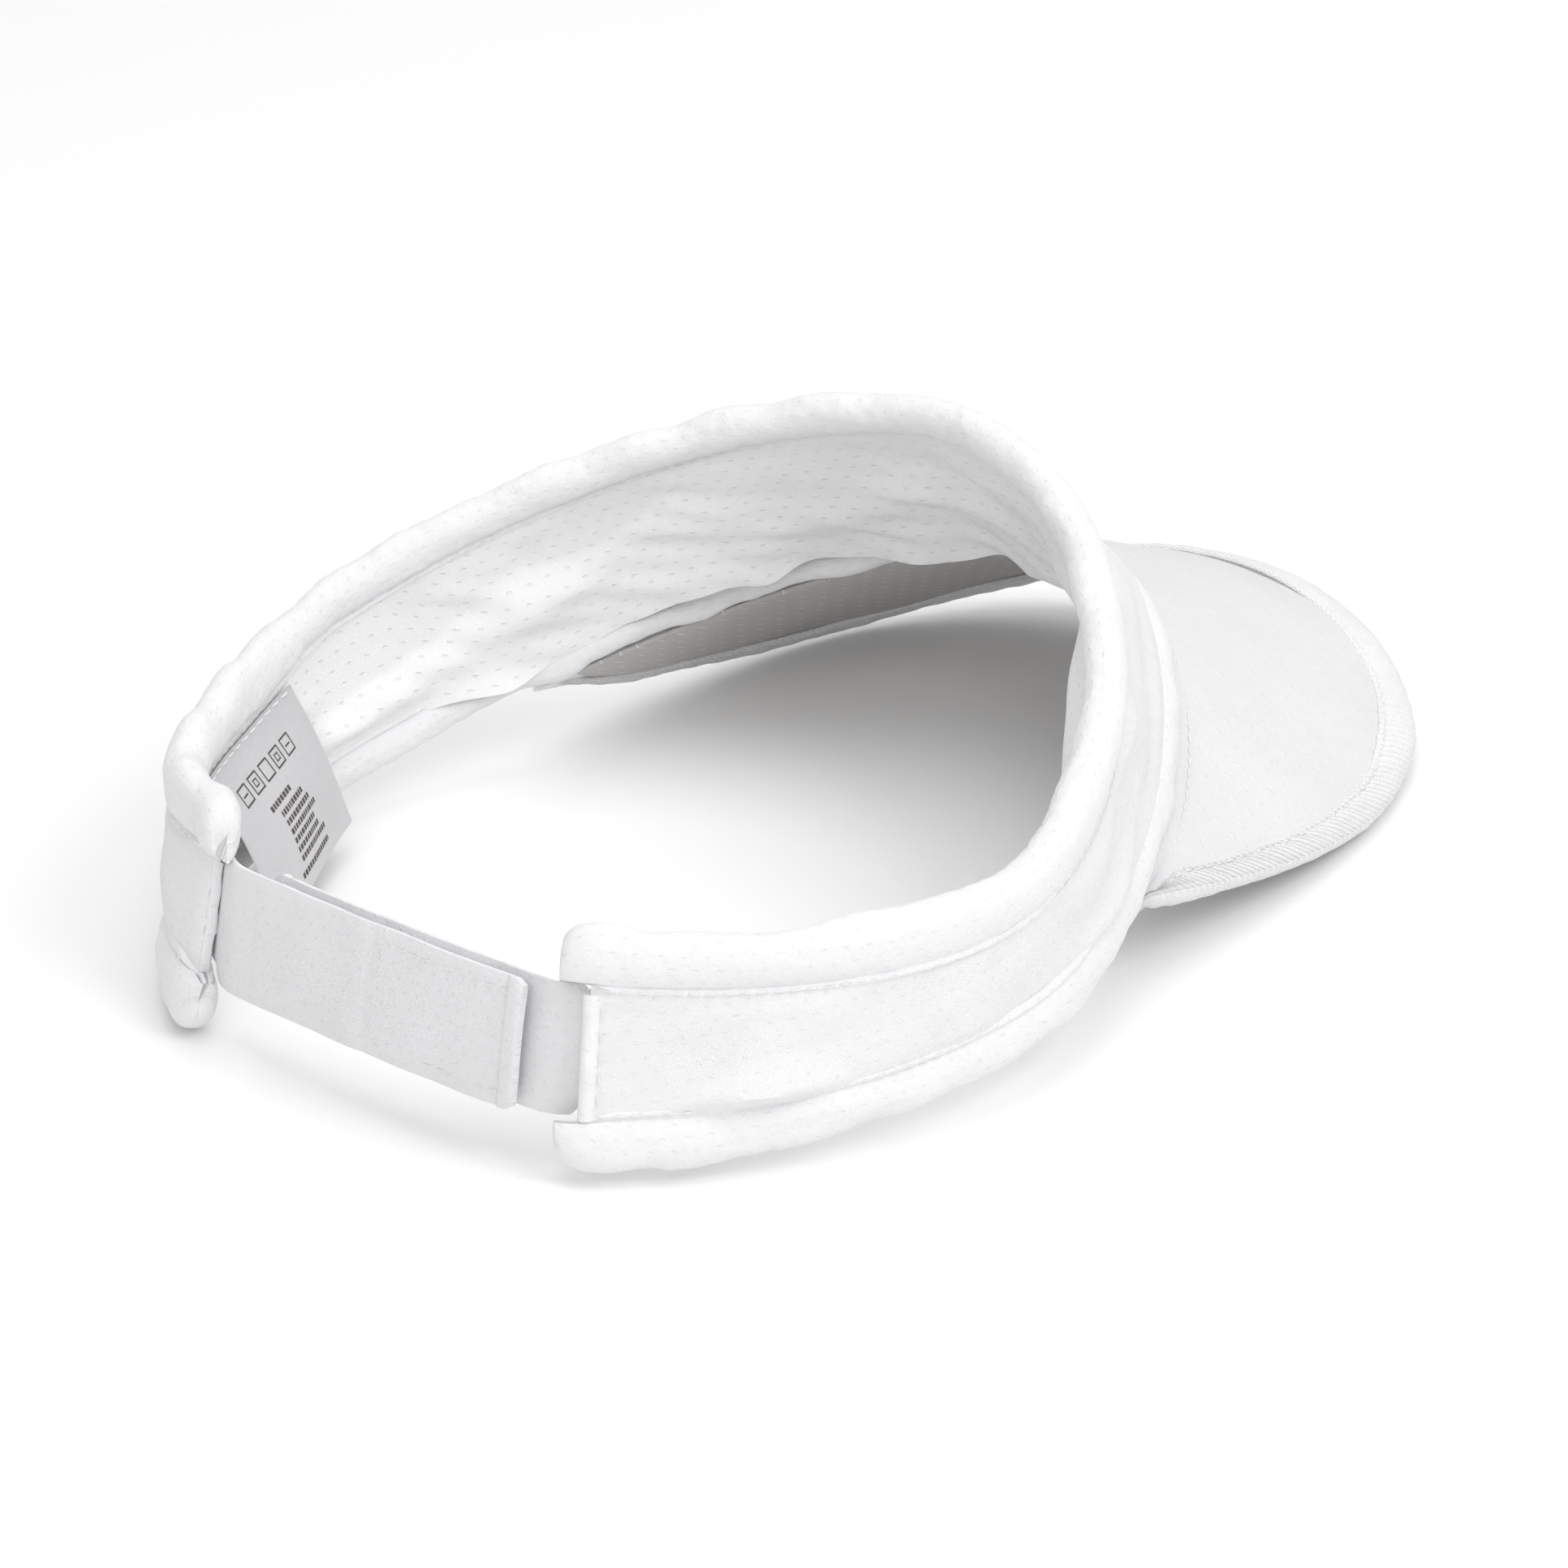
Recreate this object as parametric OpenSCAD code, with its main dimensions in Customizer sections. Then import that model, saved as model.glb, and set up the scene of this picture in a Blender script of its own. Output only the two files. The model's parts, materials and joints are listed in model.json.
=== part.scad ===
// Sun visor: a padded, open-backed crown band with an arched brim in front
// and a hook-and-loop strap closure at the rear.
//
// The band is drawn in its own frame first: X to the wearer's left, -Y to the
// front, +Z up, with an angle t that runs round the head from the front centre
// (0) to either rear end (positive on the wearer's left). place() then lays the
// finished visor down on the brim's edge and the rear ends.

/* [Crown band] */
// Half of the band's width at its top edge
top_half_width = 81.5; // [76:0.5:86]
// From the band's widest point forward to the front of the top edge
top_front_length = 87; // [82:0.5:92]
// From the widest point back to where the top edge would close
top_rear_length = 75.5; // [70:0.5:80]
// Half of the band's width at its bottom edge
bottom_half_width = 79; // [75:0.5:84]
// From the widest point forward to the front of the bottom edge
bottom_front_length = 112; // [106:0.5:116]
// From the widest point back to where the bottom edge would close
bottom_rear_length = 85; // [80:0.5:89]
// Height of the top edge at the front
top_front_height = 45; // [40:0.5:50]
// Height of the top edge at the sides
top_side_height = 22; // [20:0.5:26]
// Height of the top edge at the rear
top_rear_height = 30.5; // [28:0.5:33]
// Height of the bottom edge at the front
bottom_front_height = 10.5; // [6:0.5:13]
// Height of the bottom edge at the sides, below the zero level
bottom_side_height = -5; // [-7:0.5:-3]
// Angle from the front at which the band's cloth ends
panel_end = 146.5; // [140:0.5:150]
// Thickness of the band between its two bindings
panel_thickness = 3.3; // [3:0.1:3.8]

/* [Padded bindings] */
// Height of a padded binding
binding_height = 11.6; // [10.6:0.2:12.6]
// Thickness of a padded binding
binding_thickness = 6.5; // [6:0.1:7.2]
// Thickness of the binding's cloth
binding_cloth = 0.9; // [0.7:0.1:1.1]

/* [Brim] */
// Half of the brim's width
brim_half_width = 72.5; // [70:0.5:75]
// From the brim's corners forward to its tip
brim_reach = 135.5; // [128:0.5:142]
// Rise of the brim's arch at its middle
brim_arch = 28.5; // [22:0.5:32]
// Downward slope of the brim, as drop over length
brim_slope = 0.35; // [0.3:0.01:0.4]
// Thickness of the brim's stiff board
board_thickness = 1.4; // [1.2:0.1:1.8]
// Width of the bound border along the brim's edge
border_width = 7.5; // [6:0.5:12]

/* [Strap] */
// Width of the two straps
strap_width = 22; // [20:0.5:23]
// Thickness of a strap
strap_thickness = 1.4; // [1.2:0.1:1.5]
// Width of the hook and loop patches
patch_width = 19; // [16:0.5:19.5]

/* [Care label] */
// Width of the care label along its sewn edge
label_width = 36; // [28:1:37]
// Length of the care label as it hangs
label_length = 27; // [22:1:28]
// Angle by which the hanging label leans into the head opening
label_lift = 18; // [14:1:24]

/* [Hidden] */

// How round each loop is: 1 is an ellipse, above 1 is leaner at the corners.
top_front_power = 1.14;
top_rear_power = 1.16;
bottom_front_power = 1.18;
bottom_rear_power = 1.02;
bottom_rear_height = -0.3;
bottom_ripple = 0.9;

seam_gap = 0.15;
cloth = (panel_thickness - 4 * seam_gap) / 3.3;
half_panel = panel_thickness / 2;
roll_rx = binding_thickness / 2;
roll_ry = binding_height / 2;
pad_rx = roll_rx - binding_cloth - 0.15;
pad_ry = roll_ry - binding_cloth - 0.15;
slot_half = half_panel + seam_gap;
pad_angle = asin(slot_half / pad_rx);
panel_tuck = pad_ry * cos(pad_angle) + 0.15;
roll_end = panel_end + 3.4;

brim_corner_y = -38.5;
brim_side_power = 1.02;
brim_front_power = 0.55;
brim_corner_angle = 66.5;
brim_corner_drop = 5;
brim_seam_drop = roll_ry + 0.7;
brim_last = 0.82;
cover = 0.7;
brim_gap = 0.15;
rim = 2.1;
cover_low = board_thickness / 2 + brim_gap;
cover_high = cover_low + cover;
border_low = cover_high + brim_gap;
border_high = border_low + cover;

thread = 0.4;
thread_half = 0.25;

strap_depth = 3.05;
hinge_angle = panel_end + 4.5;
hinge_gap = 1;
strap_face_gap = 0.15;
patch_thickness = 1.1;
strap_low = strap_face_gap + patch_thickness + seam_gap;
strap_mid = strap_low + strap_thickness / 2;
strap_high = strap_low + strap_thickness;
strap_bow = 1.5;
strap_tip_gap = 3.3;
inner_tip_gap = 6;
sewn_length = 13;
sewn_half = 9;

label_start = 96;
label_end = 124;
label_thickness = 0.3;

band_steps = 44;
flap_steps = 11;

// ---- small tools ----
function unit(v) = v / norm(v);
function mix(a, b, f) = a + (b - a) * f;
// v to the power p with its sign kept, and smooth where v passes zero.
function signed_power(v, p) = v * pow((v * v + 0.02) / 1.02, (p - 1) / 2);
function spread(from, to, count) = [for (i = [0:count]) mix(from, to, i / count)];
function reversed(list) = [for (i = [len(list) - 1:-1:0]) list[i]];

// A closed tube through rings that all have the same number of points. Its two
// halves are cut into triangles the opposite way, so that layers lie face to face.
module sweep(rings)
{
    n = len(rings[0]);
    last = (len(rings) - 1) * n;
    sides = [for (k = [0:len(rings) - 2], i = [0:n - 1])
        let (a = k * n + i, b = k * n + (i + 1) % n)
        each i < n / 2 ? [[a, b + n, b], [a, a + n, b + n]]
                       : [[a, a + n, b], [b, a + n, b + n]]];
    ends = [[for (i = [0:n - 1]) i], [for (i = [n - 1:-1:0]) last + i]];
    polyhedron([for (ring = rings) each ring], concat(sides, ends), convexity = 10);
}

// ---- the band ----
function loop_point(t, half_width, front, rear, front_power, rear_power, z) =
    let (ahead = cos(t) > 0, power = ahead ? front_power : rear_power)
    [half_width * signed_power(sin(t), power),
     -(ahead ? front : rear) * signed_power(cos(t), power),
     z];
function level(t, front, side, rear) =
    let (tilt = (front - rear) / 2, dip = (front + rear) / 4 - side / 2)
    side + dip + tilt * cos(t) + dip * cos(2 * t);
function top_line(t) =
    loop_point(t, top_half_width, top_front_length, top_rear_length,
               top_front_power, top_rear_power,
               level(t, top_front_height, top_side_height, top_rear_height));
function bottom_line(t) =
    loop_point(t, bottom_half_width, bottom_front_length, bottom_rear_length,
               bottom_front_power, bottom_rear_power,
               level(t, bottom_front_height, bottom_side_height, bottom_rear_height)
               + bottom_ripple * cos(3 * t));
function middle(t) = (top_line(t) + bottom_line(t)) / 2;
function up(t) = unit(top_line(t) - bottom_line(t));
function onward(t) = unit(middle(t + 0.5) - middle(t - 0.5));
function out(t) = unit(cross(onward(t), up(t)));

// A frame is [origin, outward, upward]; a profile point is [outward, upward].
function top_frame(t) = [top_line(t), out(t), up(t)];
function bottom_frame(t) = [bottom_line(t), out(t), up(t)];
function in_frame(f, p, size = 1) = f[0] + size * (p.x * f[1] + p.y * f[2]);
function ring(f, profile, size = 1) = [for (p = profile) in_frame(f, p, size)];
function oval(rx, ry, from, to, count) =
    [for (a = spread(from, to, count)) [rx * sin(a), -ry * cos(a)]];
function upside_down(profile) = reversed([for (p = profile) [p.x, -p.y]]);
function box_profile(x0, x1, y0, y1) = [[x0, y0], [x0, y1], [x1, y1], [x1, y0]];

// The binding is a C that opens towards the panel it wraps.
function binding_profile() =
    let (outer = asin(slot_half / roll_rx),
         inner = asin(slot_half / (roll_rx - binding_cloth)))
    reversed(concat(
        oval(roll_rx, roll_ry, outer, 360 - outer, 13),
        oval(roll_rx - binding_cloth, roll_ry - binding_cloth, 360 - inner, inner, 11)));
function padding_profile() =
    reversed(oval(pad_rx, pad_ry, pad_angle, 360 - pad_angle, 9));

// Ring angles of a binding, with smaller rings that round its two ends off.
round_end = [[0, 0.6], [0.9, 0.86], [2.4, 1]];
function binding_stations() = concat(
    [for (e = round_end) [-roll_end + e[0], e[1]]],
    [for (t = band_angles) [t, 1]],
    [for (e = reversed(round_end)) [roll_end - e[0], e[1]]]);

band_angles = spread(-panel_end, panel_end, band_steps);

// One cloth layer of the band, between two depths, from row to row.
function layer_ring(t, low, high) =
    let (b = bottom_line(t) + up(t) * panel_tuck, a = top_line(t) - up(t) * panel_tuck)
    concat([for (v = [0, 0.5, 1]) mix(b, a, v) + out(t) * low],
           [for (v = [1, 0.5, 0]) mix(b, a, v) + out(t) * high]);
module band_layer(low, high)
{
    sweep([for (t = band_angles) layer_ring(t, low, high)]);
}

module crown_outer_panel()
{
    color("white") place() band_layer(half_panel - cloth, half_panel);
}

module crown_interlining()
{
    color("gainsboro") place()
        band_layer(-half_panel + cloth + seam_gap, half_panel - cloth - seam_gap);
}

// In front the lining's lower edge is free: it hangs inside the bottom binding.
function flap_ring(t) =
    let (low = -half_panel, f = bottom_frame(t), depth = -roll_rx - 0.9,
         top = top_line(t) - up(t) * panel_tuck, mid = middle(t))
    concat([in_frame(f, [depth - cloth, -roll_ry + 1.2]),
            in_frame(f, [depth - cloth, roll_ry - 0.5]),
            mid + out(t) * low, top + out(t) * low],
           [top + out(t) * (low + cloth), mid + out(t) * (low + cloth),
            in_frame(f, [depth, roll_ry - 0.5]),
            in_frame(f, [depth, -roll_ry + 1.2])]);

function sewn_ring(t) = layer_ring(t, -half_panel, -half_panel + cloth);

module crown_lining()
{
    color("whitesmoke") place() {
        sweep([for (k = [flap_steps:band_steps - flap_steps]) flap_ring(band_angles[k])]);
        sweep([for (k = [0:flap_steps])
            sewn_ring(band_angles[k] - (k == flap_steps ? 0.4 : 0))]);
        sweep([for (k = [band_steps - flap_steps:band_steps])
            sewn_ring(band_angles[k] + (k == band_steps - flap_steps ? 0.4 : 0))]);
    }
}

module top_binding()
{
    color("white") place()
        sweep([for (e = binding_stations()) ring(top_frame(e[0]), binding_profile(), e[1])]);
}

module bottom_binding()
{
    color("white") place()
        sweep([for (e = binding_stations())
            ring(bottom_frame(e[0]), upside_down(binding_profile()), e[1])]);
}

module top_binding_padding()
{
    color("lightyellow") place()
        sweep([for (t = band_angles) ring(top_frame(t), padding_profile())]);
}

module bottom_binding_padding()
{
    color("lightyellow") place()
        sweep([for (t = band_angles)
            ring(bottom_frame(t), upside_down(padding_profile()))]);
}

// A row of stitches on each face of the panel, just clear of the binding.
thread_row = roll_ry * cos(asin(slot_half / roll_rx)) + 0.5;
function thread_profile(side, upward) =
    let (near = half_panel + 0.15, far = near + thread,
         low = min(upward * thread_row, upward * (thread_row + 2 * thread_half)),
         high = low + 2 * thread_half)
    side > 0 ? box_profile(near, far, low, high) : box_profile(-far, -near, low, high);

module top_binding_stitching()
{
    color("silver") place()
        for (side = [-1, 1])
            sweep([for (t = spread(-panel_end + 1, panel_end - 1, band_steps))
                ring(top_frame(t), thread_profile(side, -1))]);
}

module bottom_binding_stitching()
{
    color("silver") place()
        for (side = [-1, 1])
            sweep([for (t = spread(-panel_end + 1, panel_end - 1, band_steps))
                ring(bottom_frame(t), thread_profile(side, 1))]);
}

// ---- the band's rear ends ----
function on_band(t, h, n) = middle(t) + up(t) * h + out(t) * n;

// A block over the band: corners are [t, n] pairs in turn, h runs from low to high.
module band_block(corners, low, high)
{
    sweep([for (h = [low, high]) [for (c = corners) on_band(c.x, h, c.y)]]);
}

hem_width = 5;
hem_cloth = 0.7;
hem_half = sewn_half - 0.8;
// The hem turns round the panel's end: each fold is an [inner, outer] pair of points.
module end_hem(side)
{
    a = panel_end;
    inner = half_panel + seam_gap;
    outer = inner + hem_cloth;
    folds = [[[a - hem_width, inner], [a - hem_width, outer]],
             [[a + 0.2, inner], [a + 0.9, outer]],
             [[a + 0.2, -half_panel], [a + 0.9, -half_panel]]];
    sweep([for (f = folds)
        let (section = [for (c = [[f[0], -1], [f[1], -1], [f[1], 1], [f[0], 1]])
            on_band(side * c[0].x, c[1] * hem_half, c[0].y)])
        side > 0 ? reversed(section) : section]);
}

module left_end_hem() { color("white") place() end_hem(1); }
module right_end_hem() { color("white") place() end_hem(-1); }

module end_stitching(side)
{
    a = panel_end - 1.2;
    n = half_panel + seam_gap + hem_cloth + 0.05;
    corners = [[a, n], [a + 0.5, n], [a + 0.5, n + thread], [a, n + thread]];
    turned = [for (c = corners) [side * c.x, c.y]];
    band_block(side > 0 ? reversed(turned) : turned, -hem_half + 0.5, hem_half - 0.5);
}

module left_end_stitching() { color("silver") place() end_stitching(1); }
module right_end_stitching() { color("silver") place() end_stitching(-1); }

// ---- the brim ----
// s runs from -1 at one corner over 0 at the tip to 1 at the other corner.
function fan(s) = sign(s) * (1 - pow(1 - abs(s), 3));
function brim_edge(s) =
    let (f = 90 * fan(s), x = brim_half_width * signed_power(sin(f), brim_side_power),
         y = brim_corner_y - brim_reach * pow(cos(f), brim_front_power),
         across = x / brim_half_width)
    [x, y, bottom_line(brim_corner_angle).z - brim_corner_drop
           + brim_arch * (1 - across * across) + brim_slope * (y - brim_corner_y)];
function brim_seam(s) =
    let (t = brim_corner_angle * mix(fan(s), s, 0.25))
    bottom_line(t) - up(t) * brim_seam_drop;
function brim_depth(s) = norm(brim_edge(s) - brim_seam(s)) - rim;
function brim_ray(s) = unit(brim_edge(s) - brim_seam(s));
function brim_line(s, v) = brim_seam(s) + brim_ray(s) * brim_depth(s) * v;
function brim_normal(s, v) =
    unit(cross(brim_line(s + 0.01, v) - brim_line(s - 0.01, v), brim_ray(s)));
function brim_up(s, v) = -mix(brim_normal(s, 0), brim_normal(s, 1), v);
function brim_point(s, v, n) = brim_line(s, v) + brim_up(s, v) * n;
function back_from_edge(s, distance) = 1 - distance / brim_depth(s);
function border_here(s) = min(border_width, 0.75 * brim_depth(s) - 1);

brim_stations = spread(-brim_last, brim_last, 36);
function brim_ring(s, low, high) =
    concat([for (v = [0, 0.25, 0.5, 0.75, 1]) brim_point(s, v, low)],
           [for (v = [1, 0.75, 0.5, 0.25, 0]) brim_point(s, v, high)]);
module brim_layer(low, high)
{
    sweep([for (s = brim_stations) reversed(brim_ring(s, low, high))]);
}

module brim_board()
{
    color("lightgrey") place() brim_layer(-board_thickness / 2, board_thickness / 2);
}
module brim_top_cover() { color("white") place() brim_layer(cover_low, cover_high); }
module brim_under_cover() { color("whitesmoke") place() brim_layer(-cover_high, -cover_low); }

// The border wraps the brim's edge as a U, seen in section from its open side.
function border_ring(s) =
    let (w = back_from_edge(s, border_here(s)), ray = brim_ray(s), up = brim_up(s, 1),
         tip = brim_line(s, 1))
    concat([brim_point(s, w, border_high), brim_point(s, 1, border_high)],
           [for (a = [30, 0, -30]) tip + ray * rim * (0.25 + 0.75 * cos(a) * cos(a))
                                       + up * border_high * sin(a)],
           [brim_point(s, 1, -border_high), brim_point(s, w, -border_high),
            brim_point(s, w, -border_low), brim_point(s, 1, -border_low),
            tip + ray * rim * 0.45, brim_point(s, 1, border_low),
            brim_point(s, w, border_low)]);
module brim_edge_binding()
{
    color("white") place() sweep([for (s = brim_stations) border_ring(s)]);
}

// A row of thread on the brim, at a distance back from the edge.
function brim_thread_ring(s, back, face) =
    let (a = back_from_edge(s, back + thread_half), b = back_from_edge(s, back - thread_half),
         n = cover_high + 0.2)
    face > 0 ? [brim_point(s, a, n), brim_point(s, a, n + thread),
                brim_point(s, b, n + thread), brim_point(s, b, n)]
             : [brim_point(s, a, -n - thread), brim_point(s, a, -n),
                brim_point(s, b, -n), brim_point(s, b, -n - thread)];

module brim_edge_stitching()
{
    color("silver") place()
        for (face = [-1, 1])
            sweep([for (s = spread(-0.78, 0.78, 36))
                brim_thread_ring(s, border_here(s) + 0.9, face)]);
}

module brim_seam_stitching()
{
    color("silver") place()
        sweep([for (s = spread(-0.62, 0.62, 32))
            brim_thread_ring(s, brim_depth(s) - 2.5, 1)]);
}

// ---- the straps ----
strap_up = unit([0, up(panel_end).y, up(panel_end).z]);
strap_out = unit(cross([-1, 0, 0], strap_up));
left_hinge = middle(hinge_angle) - out(hinge_angle) * strap_depth;
right_hinge = [-left_hinge.x, left_hinge.y, left_hinge.z];
strap_from = left_hinge - strap_out * strap_mid;
strap_to = right_hinge + strap_out * (strap_mid - 0.2);
strap_span = norm(strap_to - strap_from);
strap_run = unit(strap_to - strap_from);
strap_normal = unit(cross(strap_run, strap_up));
outer_tip = strap_span - strap_tip_gap;
patch_start = strap_span / 2;

// d is the distance from the left hinge, h the height and n the depth outwards
// from the plane where hooks and loops meet.
function on_strap(d, h, n) =
    let (f = d / strap_span)
    strap_from + strap_run * d + strap_up * h
    + strap_normal * (n + strap_bow * 4 * f * (1 - f));
module strap_piece(from, to, low, high, inner, outer, count = 10)
{
    sweep([for (d = spread(from, to, count))
        [on_strap(d, low, inner), on_strap(d, high, inner),
         on_strap(d, high, outer), on_strap(d, low, outer)]]);
}

module sewn_end(side)
{
    low = -strap_depth - strap_thickness / 2;
    high = -strap_depth + strap_thickness / 2;
    place() sweep([for (f = spread(0, 1, 10))
        let (a = mix(panel_end - sewn_length, hinge_angle - hinge_gap, f),
             section = [for (p = box_profile(low, high, -sewn_half, sewn_half))
                 on_band(side * a, p.y, p.x)])
        side > 0 ? section : reversed(section)]);
}

module outer_strap_sewn_end() { color("whitesmoke") sewn_end(1); }
module inner_strap_sewn_end() { color("whitesmoke") sewn_end(-1); }

module outer_strap()
{
    color("whitesmoke") place()
        strap_piece(hinge_gap, outer_tip, -strap_width / 2, strap_width / 2,
                    strap_low, strap_high);
}

module hook_patch()
{
    color("white") place()
        strap_piece(patch_start, outer_tip - 1.5, -patch_width / 2, patch_width / 2,
                    strap_face_gap, strap_face_gap + patch_thickness);
}

module inner_strap()
{
    color("gainsboro") place()
        strap_piece(inner_tip_gap, strap_span - hinge_gap, -strap_width / 2, strap_width / 2,
                    -strap_high + 0.2, -strap_low + 0.2);
}

module loop_patch()
{
    color("white") place()
        strap_piece(inner_tip_gap + 1.5, strap_span - 6, -patch_width / 2, patch_width / 2,
                    -strap_face_gap - patch_thickness + 0.2, -strap_face_gap);
}

// A box of stitches: two long rows and two short ones that stop short of them.
module stitch_box(from, to, half, inner)
{
    outer = inner + thread;
    for (h = [-half, half])
        strap_piece(from, to, h - thread_half, h + thread_half, inner, outer);
    for (d = [from, to])
        strap_piece(d - thread_half, d + thread_half, -half + 0.6, half - 0.6, inner, outer, 1);
}

module outer_strap_stitching()
{
    color("silver") place()
        stitch_box(patch_start + 1, outer_tip - 2.5, patch_width / 2 - 1, strap_high + 0.05);
}

module inner_strap_stitching()
{
    color("silver") place()
        stitch_box(inner_tip_gap + 3, strap_span - 8, patch_width / 2 - 1,
                   -strap_high + 0.2 - 0.05 - thread);
}

// ---- the care label ----
function label_anchor(t) = in_frame(top_frame(t), [-half_panel - 1.8, -thread_row - 1.4]);
label_left = label_anchor(label_end);
label_right = label_anchor(label_start);
label_run = unit(label_right - label_left);
label_centre = (label_left + label_right) / 2;
label_plumb = unit(cross(out((label_start + label_end) / 2), label_run));
label_inward = unit(cross(label_plumb, label_run));
label_fall = label_plumb * cos(label_lift) + label_inward * sin(label_lift);
label_face = unit(cross(label_fall, label_run));

function on_label(along, down, n) =
    label_centre + label_run * along + label_fall * down + label_face * n;

// Satin curls a little, so its middle stands off the plane through its edges.
label_curl = 0.8;
module care_label()
{
    color("white") place()
        sweep([for (down = spread(0.4, label_length, 8))
            let (curl = label_curl * sin(180 * down / label_length))
            reversed([for (p = box_profile(-label_width / 2, label_width / 2,
                                           curl, curl + label_thickness))
                on_label(p.x, down, p.y)])]);
}

module care_label_stitching()
{
    color("silver") place()
        sweep([for (along = spread(-label_width / 2 + 1, label_width / 2 - 1, 6))
            [for (p = box_profile(-0.9, -0.4, -thread_half, thread_half))
                on_label(along, p.x, p.y)]]);
}

// ---- how the visor lies at rest ----
// It rests on both sides of the brim's edge and on the two rear ends.
brim_rest = [for (s = spread(0, brim_last, 40)) each border_ring(s)];
rear_rest = [for (e = binding_stations()) if (e[0] > 130)
    each ring(bottom_frame(e[0]), upside_down(binding_profile()), e[1])];
rear_low = [for (p = rear_rest) if (p.z == min([for (q = rear_rest) q.z])) p][0];
rest_slope = max([for (p = brim_rest) (rear_low.z - p.z) / (rear_low.y - p.y)]);
rest_pitch = -atan(rest_slope);
function pitched(p) =
    [p.x, p.y * cos(rest_pitch) - p.z * sin(rest_pitch),
          p.y * sin(rest_pitch) + p.z * cos(rest_pitch)];
strap_back = [for (d = spread(patch_start, outer_tip, 8), side = [-1, 1])
    on_strap(d, side * patch_width / 2, strap_high + thread)];
rest_points = [for (p = concat(brim_rest, rear_rest, strap_back)) pitched(p)];
rest_lift = -min([for (p = rest_points) p.z]);
rest_shift = -(min([for (p = rest_points) p.y]) + max([for (p = rest_points) p.y])) / 2;

module place()
{
    translate([0, rest_shift, rest_lift]) rotate([rest_pitch, 0, 0]) children();
}

crown_outer_panel();
crown_interlining();
crown_lining();
top_binding();
top_binding_padding();
top_binding_stitching();
bottom_binding();
bottom_binding_padding();
bottom_binding_stitching();
left_end_hem();
right_end_hem();
left_end_stitching();
right_end_stitching();
brim_board();
brim_top_cover();
brim_under_cover();
brim_edge_binding();
brim_edge_stitching();
brim_seam_stitching();
outer_strap_sewn_end();
outer_strap();
hook_patch();
outer_strap_stitching();
inner_strap_sewn_end();
inner_strap();
loop_patch();
inner_strap_stitching();
care_label();
care_label_stitching();
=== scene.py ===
"""A white sun visor: padded open-backed band, arched brim, hook-and-loop strap.

Everything is drawn in the band's own frame in millimetres (X to the wearer's left,
-Y to the front, +Z up, the angle t round the head from the front centre) and then
placed, in metres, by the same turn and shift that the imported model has.
"""
import json
import math

import bmesh
import bpy
import numpy as np
from mathutils import Matrix, Vector


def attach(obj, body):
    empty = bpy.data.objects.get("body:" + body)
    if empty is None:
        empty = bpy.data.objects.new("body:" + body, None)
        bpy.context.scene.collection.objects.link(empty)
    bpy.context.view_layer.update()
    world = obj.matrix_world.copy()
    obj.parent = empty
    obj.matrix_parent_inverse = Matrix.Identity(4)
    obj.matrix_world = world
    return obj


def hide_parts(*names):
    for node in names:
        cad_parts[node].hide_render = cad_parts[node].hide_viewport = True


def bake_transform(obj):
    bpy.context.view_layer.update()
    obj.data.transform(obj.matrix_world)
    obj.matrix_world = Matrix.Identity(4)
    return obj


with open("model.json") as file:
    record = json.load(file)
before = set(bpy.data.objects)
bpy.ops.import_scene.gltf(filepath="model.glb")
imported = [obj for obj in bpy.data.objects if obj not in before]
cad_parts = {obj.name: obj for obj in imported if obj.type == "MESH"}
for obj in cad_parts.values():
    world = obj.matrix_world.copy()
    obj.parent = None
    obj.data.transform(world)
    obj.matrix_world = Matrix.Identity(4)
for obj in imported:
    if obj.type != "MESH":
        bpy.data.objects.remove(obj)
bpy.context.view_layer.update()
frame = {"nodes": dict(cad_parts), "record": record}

# ---- driving sizes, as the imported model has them, in mm and degrees ----
TOP = dict(half=81.5, front=87, rear=75.5, front_power=1.14, rear_power=1.16)
BOTTOM = dict(half=79, front=112, rear=85, front_power=1.18, rear_power=1.02)
TOP_LEVELS = (45, 22, 30.5)
BOTTOM_LEVELS = (10.5, -5, -0.3)
BOTTOM_RIPPLE = 0.9
PANEL_END, ROLL_END = 146.5, 149.9
HALF_PANEL = 1.65
FOAM_END, TURN_START = 139, 139.5
PANEL_TUCK = 3.4
CLOTH = 0.9
ROLL_RX, ROLL_RY = 3.25, 5.8
THREAD_ROW = 5.9

BRIM_HALF, BRIM_REACH, BRIM_ARCH, BRIM_SLOPE = 72.5, 135.5, 28.5, 0.35
BRIM_CORNER_Y, BRIM_CORNER_ANGLE, BRIM_CORNER_DROP = -38.5, 66.5, 5
BRIM_SEAM_DROP = 6.5
BRIM_RIM = 2.1
BORDER = 7.5
COVER_LOW, COVER_HIGH = 0.85, 1.55

STRAP_DEPTH, HINGE_ANGLE = 3.05, 151
STRAP_HALF, STRAP_THICK = 11, 1.4
SEWN_HALF, SEWN_LENGTH = 9, 13
STRAP_MID, STRAP_HIGH = 2.05, 2.75
STRAP_BOW = 1.5
OUTER_TIP_GAP, INNER_TIP_GAP = 3.3, 6

LABEL_HALF, LABEL_LENGTH, LABEL_LIFT, LABEL_CURL = 18, 27, 18, 0.8
LABEL_ANGLES = (96, 124)
LABEL_SEAM_DROP = 6.778


# ---- small tools ----
def unit(v):
    return v / np.linalg.norm(v, axis=-1, keepdims=True)


def mix(a, b, f):
    return a + (b - a) * f


def ease(x, start, end):
    """0 before start, 1 after end, and smooth between them."""
    x = np.clip((x - start) / (end - start), 0, 1)
    return x * x * (3 - 2 * x)


def hump(x, centre, width):
    return np.exp(-(((x - centre) / width) ** 2))


def window(x, start, full, last, end):
    """0 outside start..end, 1 from full to last, and smooth between them."""
    return ease(x, start, full) * (1 - ease(x, last, end))


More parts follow.
